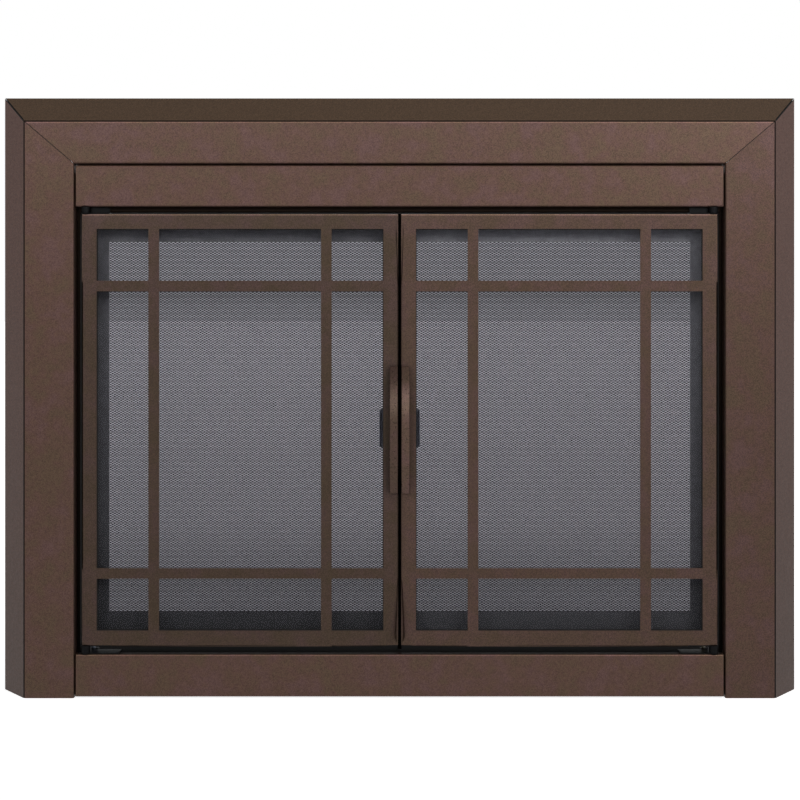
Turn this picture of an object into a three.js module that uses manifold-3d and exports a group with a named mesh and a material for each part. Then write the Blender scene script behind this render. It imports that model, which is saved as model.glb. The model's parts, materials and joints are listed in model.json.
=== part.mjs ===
// Fireplace glass door: a folded sheet-steel surround that stands on the hearth, two glazed doors
// with a nine-pane face each, and two mesh gates behind them.
//
// Millimetres. X runs to the right, Y runs back into the wall and Z runs up from the hearth.
// Pieces that come in hands are drawn closed, on the right-hand side, with Y = 0 on the flat front
// face of the surround. The left-hand ones are their mirror images.

import * as THREE from 'three';
import { mergeGeometries, mergeVertices } from 'three/addons/utils/BufferGeometryUtils.js';
import Module from 'manifold-3d';

const wasm = await Module();
wasm.setup();

// ---- driving dimensions -------------------------------------------------------------------------

// surround
const OVERALL_WIDTH = 1105;
const OVERALL_HEIGHT = 827;
const SURROUND_DEPTH = 45;
const SIDE_BEVEL_WIDTH = 39;
const TOP_BEVEL_HEIGHT = 38;
const SIDE_FACE_WIDTH = 68.2;
const TOP_FACE_HEIGHT = 58.2;
const SHEET = 1.5;
const BEND_RADIUS = 2.4;
const WALL_LIP = 12;
const GROOVE_WIDTH = 1.6;
const GROOVE_DEPTH = 0.9;
const TRIM_LIP = 10;
const BEVEL_MITRE_GAP = 1.6;
const RIDGE_MITRE_GAP = 0.4;
const INNER_MITRE_GAP = 0.2;
const LIP_MITRE_GAP = 0.1;

// header panel and bottom rail
const HEADER_HEIGHT = 56.1;
const HEADER_TOP_GAP = 2.7;
const RAIL_HEIGHT = 57.8;
const RAIL_LIFT = 1.9;
const PANEL_END_GAP = 2;

// posts and channels behind the panels
const POST_DEPTH_BEHIND_FACE = 17;
const POST_LIP = 4.5;
const CHANNEL_FRONT = 12;
const CHANNEL_BACK = 56;
const CHANNEL_HEIGHT = 35;
const CHANNEL_DROP = 7;
const CHANNEL_SINK = 0.3;

// doors
const DOOR_SIDE_GAP = 10.7;
const DOOR_TOP_GAP = 10.4;
const DOOR_BOTTOM_GAP = 12.3;
const MEETING_GAP = 4.2;
const DOOR_RECESS = 1.5;
const DOOR_DEPTH = 15;
const STILE_WIDTH = 20.1;
const MUNTIN_WIDTH = 14.6;
const MUNTIN_INSET = 98.2;
const STRIKE_FLANGE = 10;

// glazing
const GASKET_THICKNESS = 2;
const GASKET_REVEAL = 1;
const GASKET_OVERLAP = 6;
const GLASS_THICKNESS = 4.8;
const GLASS_OVERLAP = 8;
const RETAINER_SETBACK = 2;

// door hinges
const HINGE_INSET = 4.8;
const HINGE_DEPTH = 4.5;
const HINGE_PIN_RADIUS = 3;
const KNUCKLE_RADIUS = 6.3;
const LEAF_THICKNESS = 1.2;
const TOP_LEAF_LENGTH = 32;
const LOWER_DOOR_LEAF_LENGTH = 35;
const LOWER_FRAME_LEAF_LENGTH = 45;
const DOOR_LEAF_BACK = 14;
const FRAME_LEAF_BACK = 24;
const TOP_FLANGE_DEPTH = 9;
const HINGE_PIN_SHORTFALL = 2;

// handles
const HANDLE_LENGTH = 174.2;
const HANDLE_WIDTH = 11;
const HANDLE_RISE = 30;
const HANDLE_BAR = 7;
const HANDLE_FOOT_LENGTH = 18;
const HANDLE_FOOT_HEIGHT = 4;
const HANDLE_SET_IN = 0.4;
const HANDLE_EDGE = 1;
const HANDLE_STEPS = 14;
const SCREW_INSET = 12;
const SCREW_RADIUS = 2;
const SCREW_BITE = 5;
const SCREW_HEAD_RADIUS = 3.9;
const SCREW_HEAD_HEIGHT = 2.4;

// mesh gates
const GATE_FRONT = 28;
const GATE_DEPTH = 10;
const GATE_SHEET = 1.2;
const GATE_OUTER_GAP = 13.3;
const GATE_TOP_GAP = 5;
const GATE_BOTTOM_GAP = 6.6;
const GATE_MEETING_GAP = 6.4;
const MEETING_STRIP_GAP = 0.6;
const MEETING_STRIP_CLEARANCE = 1;
const GATE_MEETING_STILE = 19.5;
const GATE_OUTER_STILE = 29.4;
const GATE_TOP_RAIL = 35.2;
const GATE_BOTTOM_RAIL = 46.6;
const GATE_PIVOT_INSET = 8;
const MESH_THICKNESS = 1.2;
const MESH_OVERLAP = 8;
const MESH_STRAND = 3.4;
const MESH_COLUMNS = 5;
const MESH_ROWS = 11;
const PULL_HEIGHT = 51.3;
const PULL_WIDTH = 22.5;
const PULL_REACH = 9;
const PULL_SHOW = 5.8;

// gate pivots
const PIVOT_RADIUS = 2.5;
const PIVOT_COLLAR_RADIUS = 4.5;
const PIVOT_TAIL = 10;
const BUSH_WALL = 1.2;
const BUSH_FLANGE_RADIUS = 6.5;
const BUSH_FLANGE_HEIGHT = 1.2;
const BUSH_DEPTH = 3.5;

// magnetic catches
const CATCH_HEIGHT = 12.2;
const CATCH_LENGTH = 30;
const CATCH_OFFSET = 12;

// fixings to the fireplace
const BRACKET_SHEET = 2.5;
const BRACKET_WIDTH = 30;
const CLAMP_INSET = 190.2;
const CLAMP_LEG = 33;
const CLAMP_ARM = 53;
const CLAMP_BOLT_SETBACK = 17;
const CLAMP_BOLT_RADIUS = 4;
const CLAMP_BOLT_LENGTH = 44;
const CLAMP_BOLT_DROP = 22;
const CLAMP_PAD_RADIUS = 12;
const CLAMP_PAD_HEIGHT = 4;
const CLAMP_HEAD_RADIUS = 7;
const CLAMP_HEAD_HEIGHT = 6;
const FLOOR_INSET = 140.2;
const FLOOR_LEG = 50;
const FLOOR_FOOT = 33;
const FLOOR_HOLE_RADIUS = 3.5;
const FLOOR_HOLE_SETBACK = 15;
const FIXING_RADIUS = 3;
const FIXING_LENGTH = 12;
const FIXING_HEAD_RADIUS = 6;
const FIXING_HEAD_HEIGHT = 3.2;

// corner brackets behind the mitres
const CORNER_PLATE = 1.5;
const CORNER_REACH = 60;
const CORNER_CLEARANCE = 3;

// clearances
const SEAT = 0.3;
const RUNNING = 0.3;

// facets
const BEND_STEPS = 3;
const KNUCKLE_SIDES = 24;
const PIN_SIDES = 16;
const HEX = 6;

// ---- sizes that follow --------------------------------------------------------------------------

const OUTER = OVERALL_WIDTH / 2;
const RIDGE = OUTER - SIDE_BEVEL_WIDTH;
const INNER = RIDGE - SIDE_FACE_WIDTH;
const TOP_RIDGE = OVERALL_HEIGHT - TOP_BEVEL_HEIGHT;
const TOP_FACE_EDGE = TOP_RIDGE - TOP_FACE_HEIGHT;
const HEADER_TOP = TOP_FACE_EDGE - HEADER_TOP_GAP;
const HEADER_BOTTOM = HEADER_TOP - HEADER_HEIGHT;
const RAIL_TOP = RAIL_LIFT + RAIL_HEIGHT;
const PANEL_HALF = INNER - PANEL_END_GAP;

const POST_FACE = INNER - SEAT;
const POST_EDGE = POST_FACE - POST_LIP;
const CHANNEL_HALF = POST_EDGE - SEAT;
const TOP_CHANNEL = HEADER_BOTTOM - CHANNEL_DROP;
const BOTTOM_CHANNEL = RAIL_TOP - CHANNEL_SINK;

const DOOR_OUTER = INNER - DOOR_SIDE_GAP;
const DOOR_INNER = MEETING_GAP / 2;
const DOOR_TOP = HEADER_BOTTOM - DOOR_TOP_GAP;
const DOOR_BOTTOM = RAIL_TOP + DOOR_BOTTOM_GAP;
const DOOR_SKIN_BACK = DOOR_RECESS + SHEET;
const DOOR_BACK = DOOR_RECESS + DOOR_DEPTH;
const HINGE_X = DOOR_OUTER - HINGE_INSET;

const GASKET_FRONT = DOOR_SKIN_BACK + SEAT;
const GLASS_FRONT = GASKET_FRONT + GASKET_THICKNESS + SEAT;
const RETAINER_FRONT = GLASS_FRONT + GLASS_THICKNESS + SEAT;

const HANDLE_BACK = DOOR_RECESS - SEAT;
const HANDLE_FRONT = HANDLE_BACK - HANDLE_RISE;
const HANDLE_INNER = DOOR_INNER + HANDLE_SET_IN;
const HANDLE_MIDDLE = (DOOR_TOP + DOOR_BOTTOM) / 2;

const GATE_OUTER = INNER - GATE_OUTER_GAP;
const GATE_INNER = GATE_MEETING_GAP / 2;
const GATE_TOP = TOP_CHANNEL - GATE_TOP_GAP;
const GATE_BOTTOM = BOTTOM_CHANNEL + GATE_BOTTOM_GAP;
const GATE_BACK = GATE_FRONT + GATE_DEPTH;
const PIVOT_X = GATE_OUTER - GATE_PIVOT_INSET;
const PIVOT_DEPTH = GATE_FRONT + GATE_DEPTH / 2;
const PIVOT_HOLE = PIVOT_RADIUS + RUNNING;
const BUSH_RADIUS = PIVOT_HOLE + BUSH_WALL;

const FIXING_PLANE = CHANNEL_BACK + SEAT;
const CLAMP_OFFSET = CHANNEL_HALF - CLAMP_INSET;
const FLOOR_OFFSET = CHANNEL_HALF - FLOOR_INSET;
const CLAMP_TOP = TOP_CHANNEL + CHANNEL_HEIGHT + SEAT + BRACKET_SHEET;
const CLAMP_BACK = FIXING_PLANE + BRACKET_SHEET + CLAMP_ARM;
const CLAMP_SCREW_HEIGHT = TOP_CHANNEL + CHANNEL_HEIGHT / 2;
const FLOOR_BACK = FIXING_PLANE + BRACKET_SHEET + FLOOR_FOOT;
const FLOOR_SCREW_HEIGHT = BOTTOM_CHANNEL - CHANNEL_HEIGHT / 2;

// The origin is under the middle of the whole door, half way from the handles to the clamps.
const REAR_REACH = Math.max(CLAMP_BACK, FLOOR_BACK);
const FACE_Y = -(HANDLE_FRONT + REAR_REACH) / 2;

// ---- finishes -----------------------------------------------------------------------------------

const finish = (color, roughness, metalness, extra = {}) =>
  new THREE.MeshStandardMaterial({ color, roughness, metalness, flatShading: true, ...extra });

const BRONZE = finish(0x5b4a42, 0.5, 0.35);
const DOOR_BRONZE = finish(0x54443c, 0.5, 0.35);
const DARK_BRONZE = finish(0x2c2420, 0.6, 0.3);
const BLACK = finish(0x17171a, 0.45, 0.5);
const SMOKED_GLASS = finish(0x33363a, 0.08, 0, { transparent: true, opacity: 0.4 });
const GASKET = finish(0x1a1615, 0.95, 0);
const GATE_STEEL = finish(0x4a4a4d, 0.55, 0.4);
const ZINC = finish(0x9a9ca0, 0.4, 0.8);
const CATCH_BLACK = finish(0x1d1d1f, 0.7, 0);

// ---- solids -------------------------------------------------------------------------------------

// Shared corners and no collapsed faces, so that the geometry is one closed surface.
function closedSurface(geometry) {
  const bare = geometry.clone();
  bare.deleteAttribute('normal');
  bare.deleteAttribute('uv');
  const merged = mergeVertices(bare, 1e-4);
  const corners = merged.index.array;
  const kept = [];
  for (let i = 0; i < corners.length; i += 3) {
    const [a, b, c] = corners.slice(i, i + 3);
    if (a !== b && b !== c && c !== a) kept.push(a, b, c);
  }
  merged.setIndex(kept);
  return merged;
}

function toSolid(geometry) {
  const surface = closedSurface(geometry);
  const vertProperties = new Float32Array(surface.attributes.position.array);
  const triVerts = new Uint32Array(surface.index.array);
  return new wasm.Manifold(new wasm.Mesh({ numProp: 3, vertProperties, triVerts }));
}

function toGeometry(solid) {
  const { vertProperties, triVerts } = solid.getMesh();
  const geometry = new THREE.BufferGeometry();
  geometry.setAttribute('position', new THREE.BufferAttribute(vertProperties, 3));
  geometry.setIndex(new THREE.BufferAttribute(triVerts, 1));
  return geometry;
}

function join(...pieces) {
  return toGeometry(pieces.map(toSolid).reduce((whole, piece) => whole.add(piece)));
}

function cut(body, ...tools) {
  return toGeometry(tools.map(toSolid).reduce((left, tool) => left.subtract(tool), toSolid(body)));
}

function keepInside(body, region) {
  return toGeometry(toSolid(body).intersect(toSolid(region)));
}

function mirrored(geometry) {
  const other = closedSurface(geometry);
  other.applyMatrix4(new THREE.Matrix4().makeScale(-1, 1, 1));
  other.setIndex(Array.from(other.index.array).reverse());
  return other;
}

// ---- outlines -----------------------------------------------------------------------------------

const polygon = (points) => new THREE.Shape(points.map(([a, b]) => new THREE.Vector2(a, b)));

const corners = (a0, a1, b0, b1) => [[a0, b0], [a1, b0], [a1, b1], [a0, b1]];

function unit([ax, ay], [bx, by]) {
  const length = Math.hypot(bx - ax, by - ay);
  return [(bx - ax) / length, (by - ay) / length];
}

// A fold line with its corners turned at the given radii, one radius for each inner corner.
function bent(line, radii) {
  const rounded = [line[0]];
  for (let i = 1; i < line.length - 1; i += 1) {
    const [x, y] = line[i];
    const radius = radii[i - 1];
    const into = unit(line[i - 1], line[i]);
    const out = unit(line[i], line[i + 1]);
    const turn = Math.atan2(into[0] * out[1] - into[1] * out[0], into[0] * out[0] + into[1] * out[1]);
    const reach = radius * Math.tan(Math.abs(turn) / 2);
    const side = Math.sign(turn);
    const start = [x - into[0] * reach, y - into[1] * reach];
    const centre = [start[0] - side * into[1] * radius, start[1] + side * into[0] * radius];
    const from = Math.atan2(start[1] - centre[1], start[0] - centre[0]);
    const steps = radius > 0 ? BEND_STEPS : 0;
    for (let k = 0; k <= steps; k += 1) {
      const angle = from + (steps ? (turn * k) / steps : 0);
      rounded.push([centre[0] + radius * Math.cos(angle), centre[1] + radius * Math.sin(angle)]);
    }
  }
  rounded.push(line[line.length - 1]);
  return rounded;
}

// The closed section of a folded sheet: its outer line, and the same line one thickness to the
// right of the direction of travel.
function folded(line, thickness, radii = line.slice(2).map(() => BEND_RADIUS)) {
  const outside = bent(line, radii);
  const inside = outside.map((point, i) => {
    const into = i > 0 ? unit(outside[i - 1], point) : unit(point, outside[1]);
    const out = i < outside.length - 1 ? unit(point, outside[i + 1]) : into;
    const scale = thickness / (1 + into[0] * out[0] + into[1] * out[1]);
    return [point[0] + (into[1] + out[1]) * scale, point[1] - (into[0] + out[0]) * scale];
  });
  return [...outside, ...inside.reverse()];
}

// ---- extrusions ---------------------------------------------------------------------------------

const AXES = {
  X: [[0, 1, 0], [0, 0, 1], [1, 0, 0]],
  Y: [[1, 0, 0], [0, 0, 1], [0, -1, 0]],
  Z: [[1, 0, 0], [0, 1, 0], [0, 0, 1]],
};

function along(axis, shape, from, to, options = {}) {
  const settings = { depth: to - from, bevelEnabled: false, curveSegments: KNUCKLE_SIDES, ...options };
  const geometry = new THREE.ExtrudeGeometry(shape, settings);
  const basis = AXES[axis].map((direction) => new THREE.Vector3(...direction));
  geometry.applyMatrix4(new THREE.Matrix4().makeBasis(...basis));
  const start = axis === 'Y' ? to : from;
  return geometry.translate(...basis[2].clone().setLength(1).toArray().map((c) => Math.abs(c) * start));
}

// section in Y and Z, run along X
const barX = (outline, from, to) => along('X', polygon(outline), from, to);
// outline in X and Z, with a thickness along Y
const plateY = (outline, front, back) => along('Y', polygon(outline), front, back);
// section in X and Y, run up Z
const barZ = (outline, from, to) => along('Z', polygon(outline), from, to);

const block = (x0, x1, y0, y1, z0, z1) => barZ(corners(x0, x1, y0, y1), z0, z1);

function discZ(x, y, radius, from, to, sides = KNUCKLE_SIDES) {
  const geometry = new THREE.CylinderGeometry(radius, radius, to - from, sides);
  return geometry.rotateX(Math.PI / 2).translate(x, y, (from + to) / 2);
}

function discY(x, z, radius, from, to, sides = PIN_SIDES) {
  const geometry = new THREE.CylinderGeometry(radius, radius, to - from, sides);
  return geometry.translate(x, (from + to) / 2, z);
}

// A plate with openings cut through it, none of which meets another.
function piercedY(outline, holes, front, back) {
  const tools = holes.map((hole) => plateY(hole, front - SHEET, back + SHEET));
  return cut(plateY(outline, front, back), mergeGeometries(tools));
}

const pivotDisc = (radius, from, to) => discZ(PIVOT_X, PIVOT_DEPTH, radius, from, to, PIN_SIDES);

// A pin turned about a line parallel to Z: steps are [radius, height] pairs from the bottom up.
function turnedZ(x, y, steps, sides = PIN_SIDES) {
  const profile = [[0, steps[0][1]], ...steps, [0, steps[steps.length - 1][1]]];
  const geometry = new THREE.LatheGeometry(profile.map(([r, h]) => new THREE.Vector2(r, h)), sides);
  return geometry.rotateX(Math.PI / 2).translate(x, y, 0);
}

// ---- surround -----------------------------------------------------------------------------------

// The mitre seen from the front, at one side of its gap: the outer corner, the corner of the ridge,
// the corner of the opening, and a little beyond at both ends.
function mitreLine(side, gaps) {
  const run = [[OUTER, OVERALL_HEIGHT], [RIDGE, TOP_RIDGE], [INNER, TOP_FACE_EDGE]];
  const [outward, inward] = [unit(run[1], run[0]), unit(run[1], run[2])];
  const spare = SURROUND_DEPTH;
  const first = [run[0][0] + outward[0] * spare, run[0][1] + outward[1] * spare];
  const last = [run[2][0] + inward[0] * spare, run[2][1] + inward[1] * spare];
  const widths = [gaps[0], ...gaps, gaps[gaps.length - 1]];
  return [first, ...run, last].map(([x, z], i) => {
    const half = (side * widths[i]) / 2 / Math.SQRT2;
    return [x - half, z + half];
  });
}

// What a mitred piece keeps, on its own side of the mitre. The gap is wider on the bevel, and fine
// where the wall lips meet.
function mitred(blank, side, outlineOf) {
  const shown = outlineOf(mitreLine(side, [BEVEL_MITRE_GAP, RIDGE_MITRE_GAP, INNER_MITRE_GAP]));
  const lips = outlineOf(mitreLine(side, [LIP_MITRE_GAP, LIP_MITRE_GAP, LIP_MITRE_GAP]));
  const region = join(
    plateY(shown, -SHEET, SURROUND_DEPTH),
    plateY(lips, SURROUND_DEPTH - SHEET, SURROUND_DEPTH + SHEET),
  );
  return keepInside(blank, region);
}

// The fine groove that marks the ridge between the bevel and the flat face.
function ridgeGroove(ridge, into, from, to, run) {
  const across = [into[1], -into[0]];
  const half = GROOVE_WIDTH / 2;
  const point = (side, depth) => ridge.map((c, i) => c + across[i] * side * half + into[i] * depth);
  const outline = [point(-1, -SHEET), point(1, -SHEET), point(1, GROOVE_DEPTH), point(-1, GROOVE_DEPTH)];
  return run(outline, from, to);
}

const halfway = (a, b) => unit([0, 0], [a[0] + b[0], a[1] + b[1]]);

function jamb() {
  const section = folded([
    [OUTER - WALL_LIP, SURROUND_DEPTH],
    [OUTER, SURROUND_DEPTH],
    [RIDGE, 0],
    [INNER, 0],
    [INNER, SURROUND_DEPTH],
  ], SHEET, [0, BEND_RADIUS, BEND_RADIUS]);
  const blank = barZ(section, 0, OVERALL_HEIGHT + SHEET);
  const bevelNormal = unit([0, 0], [-SURROUND_DEPTH, SIDE_BEVEL_WIDTH]);
  const groove = ridgeGroove([RIDGE, 0], halfway(bevelNormal, [0, 1]), -SHEET, OVERALL_HEIGHT, barZ);
  const below = (line) => [...line, [line[line.length - 1][0], -SHEET], [line[0][0], -SHEET]];
  return mitred(cut(blank, groove), -1, below);
}

function topTrim() {
  const section = folded([
    [POST_DEPTH_BEHIND_FACE, TOP_FACE_EDGE - TRIM_LIP],
    [POST_DEPTH_BEHIND_FACE, TOP_FACE_EDGE],
    [0, TOP_FACE_EDGE],
    [0, TOP_RIDGE],
    [SURROUND_DEPTH, OVERALL_HEIGHT],
    [SURROUND_DEPTH, OVERALL_HEIGHT - WALL_LIP],
  ], SHEET, [0, BEND_RADIUS, BEND_RADIUS, 0]);
  const blank = barX(section, -OUTER, OUTER);
  const bevelNormal = unit([0, 0], [TOP_BEVEL_HEIGHT, -SURROUND_DEPTH]);
  const groove = ridgeGroove([0, TOP_RIDGE], halfway(bevelNormal, [1, 0]), -OUTER, OUTER, barX);
  const above = (line) => [...line, ...line.map(([x, z]) => [-x, z]).reverse()];
  return mitred(cut(blank, groove), 1, above);
}

// A shallow pan: a face with returned edges on all four sides.
function panel(bottom, top) {
  const returned = CHANNEL_FRONT - SEAT;
  const face = barX(
    folded([[returned, bottom], [0, bottom], [0, top], [returned, top]], SHEET),
    -PANEL_HALF,
    PANEL_HALF,
  );
  const flangeBack = POST_DEPTH_BEHIND_FACE - SEAT;
  const flange = block(PANEL_HALF - SHEET, PANEL_HALF, SHEET / 2, flangeBack, bottom, top);
  return join(face, flange, mirrored(flange));
}

const headerPanel = () => panel(HEADER_BOTTOM, HEADER_TOP);
const bottomRail = () => panel(RAIL_LIFT, RAIL_TOP);

function post() {
  return barZ(folded([
    [POST_FACE, SURROUND_DEPTH],
    [POST_FACE, POST_DEPTH_BEHIND_FACE],
    [POST_EDGE, POST_DEPTH_BEHIND_FACE],
  ], SHEET), 0, TOP_FACE_EDGE - TRIM_LIP - SEAT);
}

const bothSides = (tool) => [tool, mirrored(tool)];

// The web carries the gate bushes, and the rear flange takes the screws of the brackets.
function channel(web, edge, offset, screwHeight) {
  const section = folded(edge > web
    ? [[CHANNEL_BACK, edge], [CHANNEL_BACK, web], [CHANNEL_FRONT, web], [CHANNEL_FRONT, edge]]
    : [[CHANNEL_FRONT, edge], [CHANNEL_FRONT, web], [CHANNEL_BACK, web], [CHANNEL_BACK, edge]], SHEET);
  const bushHole = pivotDisc(BUSH_RADIUS + SEAT, web - 2 * SHEET, web + 2 * SHEET);
  const screwHole = discY(offset, screwHeight, FIXING_RADIUS + SEAT, CHANNEL_BACK - 2 * SHEET,
    CHANNEL_BACK + SHEET);
  return cut(barX(section, -CHANNEL_HALF, CHANNEL_HALF), ...bothSides(bushHole), ...bothSides(screwHole));
}

const topChannel = () =>
  channel(TOP_CHANNEL, TOP_CHANNEL + CHANNEL_HEIGHT, CLAMP_OFFSET, CLAMP_SCREW_HEIGHT);
const bottomChannel = () =>
  channel(BOTTOM_CHANNEL, BOTTOM_CHANNEL - CHANNEL_HEIGHT, FLOOR_OFFSET, FLOOR_SCREW_HEIGHT);

// The section of the space behind a fold line of three points, from a distance behind it.
function behind(line, distance) {
  const skin = folded(line, distance, [0]);
  const inside = skin.slice(skin.length / 2).reverse();
  const [first, , last] = inside;
  return [...inside, [last[0], first[1]]];
}

// A pressed gusset that lies along the inside of both bevels and both faces, and closes the mitre
// from behind.
function cornerBracket() {
  const hollow = (distance, spare) => {
    const back = SURROUND_DEPTH - CORNER_CLEARANCE + spare;
    const share = back / SURROUND_DEPTH;
    const stop = SHEET + BEND_RADIUS - spare;
    const upright = behind([
      [RIDGE + SIDE_BEVEL_WIDTH * share, back],
      [RIDGE, 0],
      [INNER + stop, 0],
    ], distance);
    const level = behind([
      [0, TOP_FACE_EDGE + stop],
      [0, TOP_RIDGE],
      [back, TOP_RIDGE + TOP_BEVEL_HEIGHT * share],
    ], distance);
    const beside = barZ(upright, TOP_FACE_EDGE - SHEET, OVERALL_HEIGHT);
    return keepInside(beside, barX(level, INNER - SHEET, OUTER));
  };
  const line = mitreLine(0, [0, 0, 0]);
  const lower = line.map(([x, z]) => [x, z - CORNER_REACH]);
  const upper = line.map(([x, z]) => [x - CORNER_REACH, z]);
  const band = plateY([...lower, ...upper.reverse()], 0, SURROUND_DEPTH);
  const front = SHEET + SEAT;
  return cut(keepInside(hollow(front, 0), band), hollow(front + CORNER_PLATE, SHEET));
}

// ---- hinges -------------------------------------------------------------------------------------

// A leaf with a round eye about the hinge axis.
function leaf(length, front, back, bottom) {
  const top = bottom + LEAF_THICKNESS;
  const eye = discZ(HINGE_X, HINGE_DEPTH, KNUCKLE_RADIUS, bottom, top);
  const plate = block(HINGE_X - length, HINGE_X + KNUCKLE_RADIUS / 2, front, back, bottom, top);
  return join(eye, plate);
}

const hingeBore = (from, to) =>
  discZ(HINGE_X, HINGE_DEPTH, HINGE_PIN_RADIUS + RUNNING, from - SHEET, to + SHEET);
const knuckle = (from, to) => discZ(HINGE_X, HINGE_DEPTH, KNUCKLE_RADIUS, from, to);
const hingePin = (from, to) => discZ(HINGE_X, HINGE_DEPTH, HINGE_PIN_RADIUS, from, to);

const TOP_FRAME_LEAF = DOOR_TOP + SEAT + LEAF_THICKNESS + RUNNING;
const BOTTOM_FRAME_LEAF = RAIL_TOP + SEAT;
const BOTTOM_KNUCKLE = BOTTOM_FRAME_LEAF + LEAF_THICKNESS + RUNNING;
const BOTTOM_DOOR_LEAF = DOOR_BOTTOM - SEAT - LEAF_THICKNESS;

function frameTopHinge() {
  const top = HEADER_BOTTOM - SEAT;
  const lying = leaf(TOP_LEAF_LENGTH, TOP_FLANGE_DEPTH, FRAME_LEAF_BACK, TOP_FRAME_LEAF);
  const standing = block(HINGE_X - TOP_LEAF_LENGTH, HINGE_X - KNUCKLE_RADIUS, TOP_FLANGE_DEPTH,
    TOP_FLANGE_DEPTH + LEAF_THICKNESS, TOP_FRAME_LEAF, top);
  const neck = block(HINGE_X - KNUCKLE_RADIUS, HINGE_X, HINGE_DEPTH, TOP_FLANGE_DEPTH + LEAF_THICKNESS,
    TOP_FRAME_LEAF, TOP_FRAME_LEAF + LEAF_THICKNESS);
  return cut(join(lying, standing, neck, knuckle(TOP_FRAME_LEAF, top)), hingeBore(TOP_FRAME_LEAF, top));
}

function doorTopHinge() {
  const bottom = DOOR_TOP + SEAT;
  const pin = hingePin(bottom, HEADER_BOTTOM - HINGE_PIN_SHORTFALL);
  return join(leaf(TOP_LEAF_LENGTH, DOOR_RECESS, DOOR_LEAF_BACK, bottom), pin);
}

function frameBottomHinge() {
  const pin = hingePin(BOTTOM_FRAME_LEAF, DOOR_BOTTOM - HINGE_PIN_SHORTFALL);
  return join(leaf(LOWER_FRAME_LEAF_LENGTH, DOOR_RECESS, FRAME_LEAF_BACK, BOTTOM_FRAME_LEAF), pin);
}

function doorBottomHinge() {
  const top = BOTTOM_DOOR_LEAF + LEAF_THICKNESS;
  const lying = leaf(LOWER_DOOR_LEAF_LENGTH, DOOR_RECESS, DOOR_LEAF_BACK, BOTTOM_DOOR_LEAF);
  return cut(join(lying, knuckle(BOTTOM_KNUCKLE, top)), hingeBore(BOTTOM_KNUCKLE, top));
}

// ---- doors --------------------------------------------------------------------------------------

// The three clear bands between a door's edges and its two muntins.
function bands(from, to) {
  const half = MUNTIN_WIDTH / 2;
  return [
    [from + STILE_WIDTH, from + MUNTIN_INSET - half],
    [from + MUNTIN_INSET + half, to - MUNTIN_INSET - half],
    [to - MUNTIN_INSET + half, to - STILE_WIDTH],
  ];
}

const doorOutline = (inset) =>
  corners(DOOR_INNER + inset, DOOR_OUTER - inset, DOOR_BOTTOM + inset, DOOR_TOP - inset);

const handleScrewHeights = [
  HANDLE_MIDDLE - HANDLE_LENGTH / 2 + SCREW_INSET,
  HANDLE_MIDDLE + HANDLE_LENGTH / 2 - SCREW_INSET,
];
const HANDLE_X = HANDLE_INNER + HANDLE_WIDTH / 2;

// One sheet with nine panes cut out, returned on all four sides, and a flange along the top that
// the magnet holds.
function doorFrame() {
  const panes = bands(DOOR_INNER, DOOR_OUTER).flatMap(([x0, x1]) =>
    bands(DOOR_BOTTOM, DOOR_TOP).map(([z0, z1]) => corners(x0, x1, z0, z1)));
  const skin = piercedY(doorOutline(0), panes, DOOR_RECESS, DOOR_SKIN_BACK);
  const rim = piercedY(doorOutline(0), [doorOutline(SHEET)], DOOR_RECESS, DOOR_BACK);
  const strike = block(DOOR_INNER, DOOR_OUTER, DOOR_BACK - SHEET, DOOR_BACK, DOOR_TOP - STRIKE_FLANGE,
    DOOR_TOP);
  const holes = handleScrewHeights.map((z) =>
    discY(HANDLE_X, z, SCREW_RADIUS + SEAT, 0, DOOR_SKIN_BACK + SHEET));
  return cut(join(skin, rim, strike), ...holes);
}

function ringY(outerInset, innerInset, front, thickness) {
  return piercedY(doorOutline(outerInset), [doorOutline(innerInset)], front, front + thickness);
}

const gasket = () =>
  ringY(STILE_WIDTH - GASKET_OVERLAP, STILE_WIDTH + GASKET_REVEAL, GASKET_FRONT, GASKET_THICKNESS);
const glass = () =>
  plateY(doorOutline(STILE_WIDTH - GLASS_OVERLAP), GLASS_FRONT, GLASS_FRONT + GLASS_THICKNESS);
const glassRetainer = () => ringY(SHEET + SEAT, STILE_WIDTH - RETAINER_SETBACK, RETAINER_FRONT, SHEET);

// Points of an arc that rises from a chord, as [depth, height] pairs.
function bow(base, rise, halfChord, steps) {
  const radius = (halfChord ** 2 + rise ** 2) / (2 * rise);
  const reach = Math.asin(halfChord / radius);
  return Array.from({ length: steps + 1 }, (_, i) => {
    const angle = reach * ((2 * i) / steps - 1);
    const height = HANDLE_MIDDLE + radius * Math.sin(angle);
    return [base - rise + radius * (1 - Math.cos(angle)), height];
  });
}

// A bowed pull: flat feet on the stile, and an arch that leaves room for the fingers.
function handle() {
  const half = HANDLE_LENGTH / 2;
  const [base, rise] = [HANDLE_BACK - HANDLE_FOOT_HEIGHT, HANDLE_RISE - HANDLE_FOOT_HEIGHT];
  const outside = bow(base, rise, half, HANDLE_STEPS);
  const inside = bow(HANDLE_BACK, HANDLE_RISE - HANDLE_BAR, half - HANDLE_FOOT_LENGTH, HANDLE_STEPS);
  const feet = [[HANDLE_BACK, HANDLE_MIDDLE - half], [HANDLE_BACK, HANDLE_MIDDLE + half]];
  const outline = [feet[0], ...outside, feet[1], ...inside.reverse()];
  const body = along('X', polygon(outline), 0, HANDLE_WIDTH - 2 * HANDLE_EDGE, {
    bevelEnabled: true,
    bevelThickness: HANDLE_EDGE,
    bevelSize: HANDLE_EDGE,
    bevelOffset: -HANDLE_EDGE,
    bevelSegments: 2,
  }).translate(HANDLE_INNER + HANDLE_EDGE, 0, 0);
  const holes = handleScrewHeights.map((z) =>
    discY(HANDLE_X, z, SCREW_RADIUS + SEAT, HANDLE_BACK - SCREW_BITE - SEAT, HANDLE_BACK + SHEET));
  return cut(body, ...holes);
}

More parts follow.
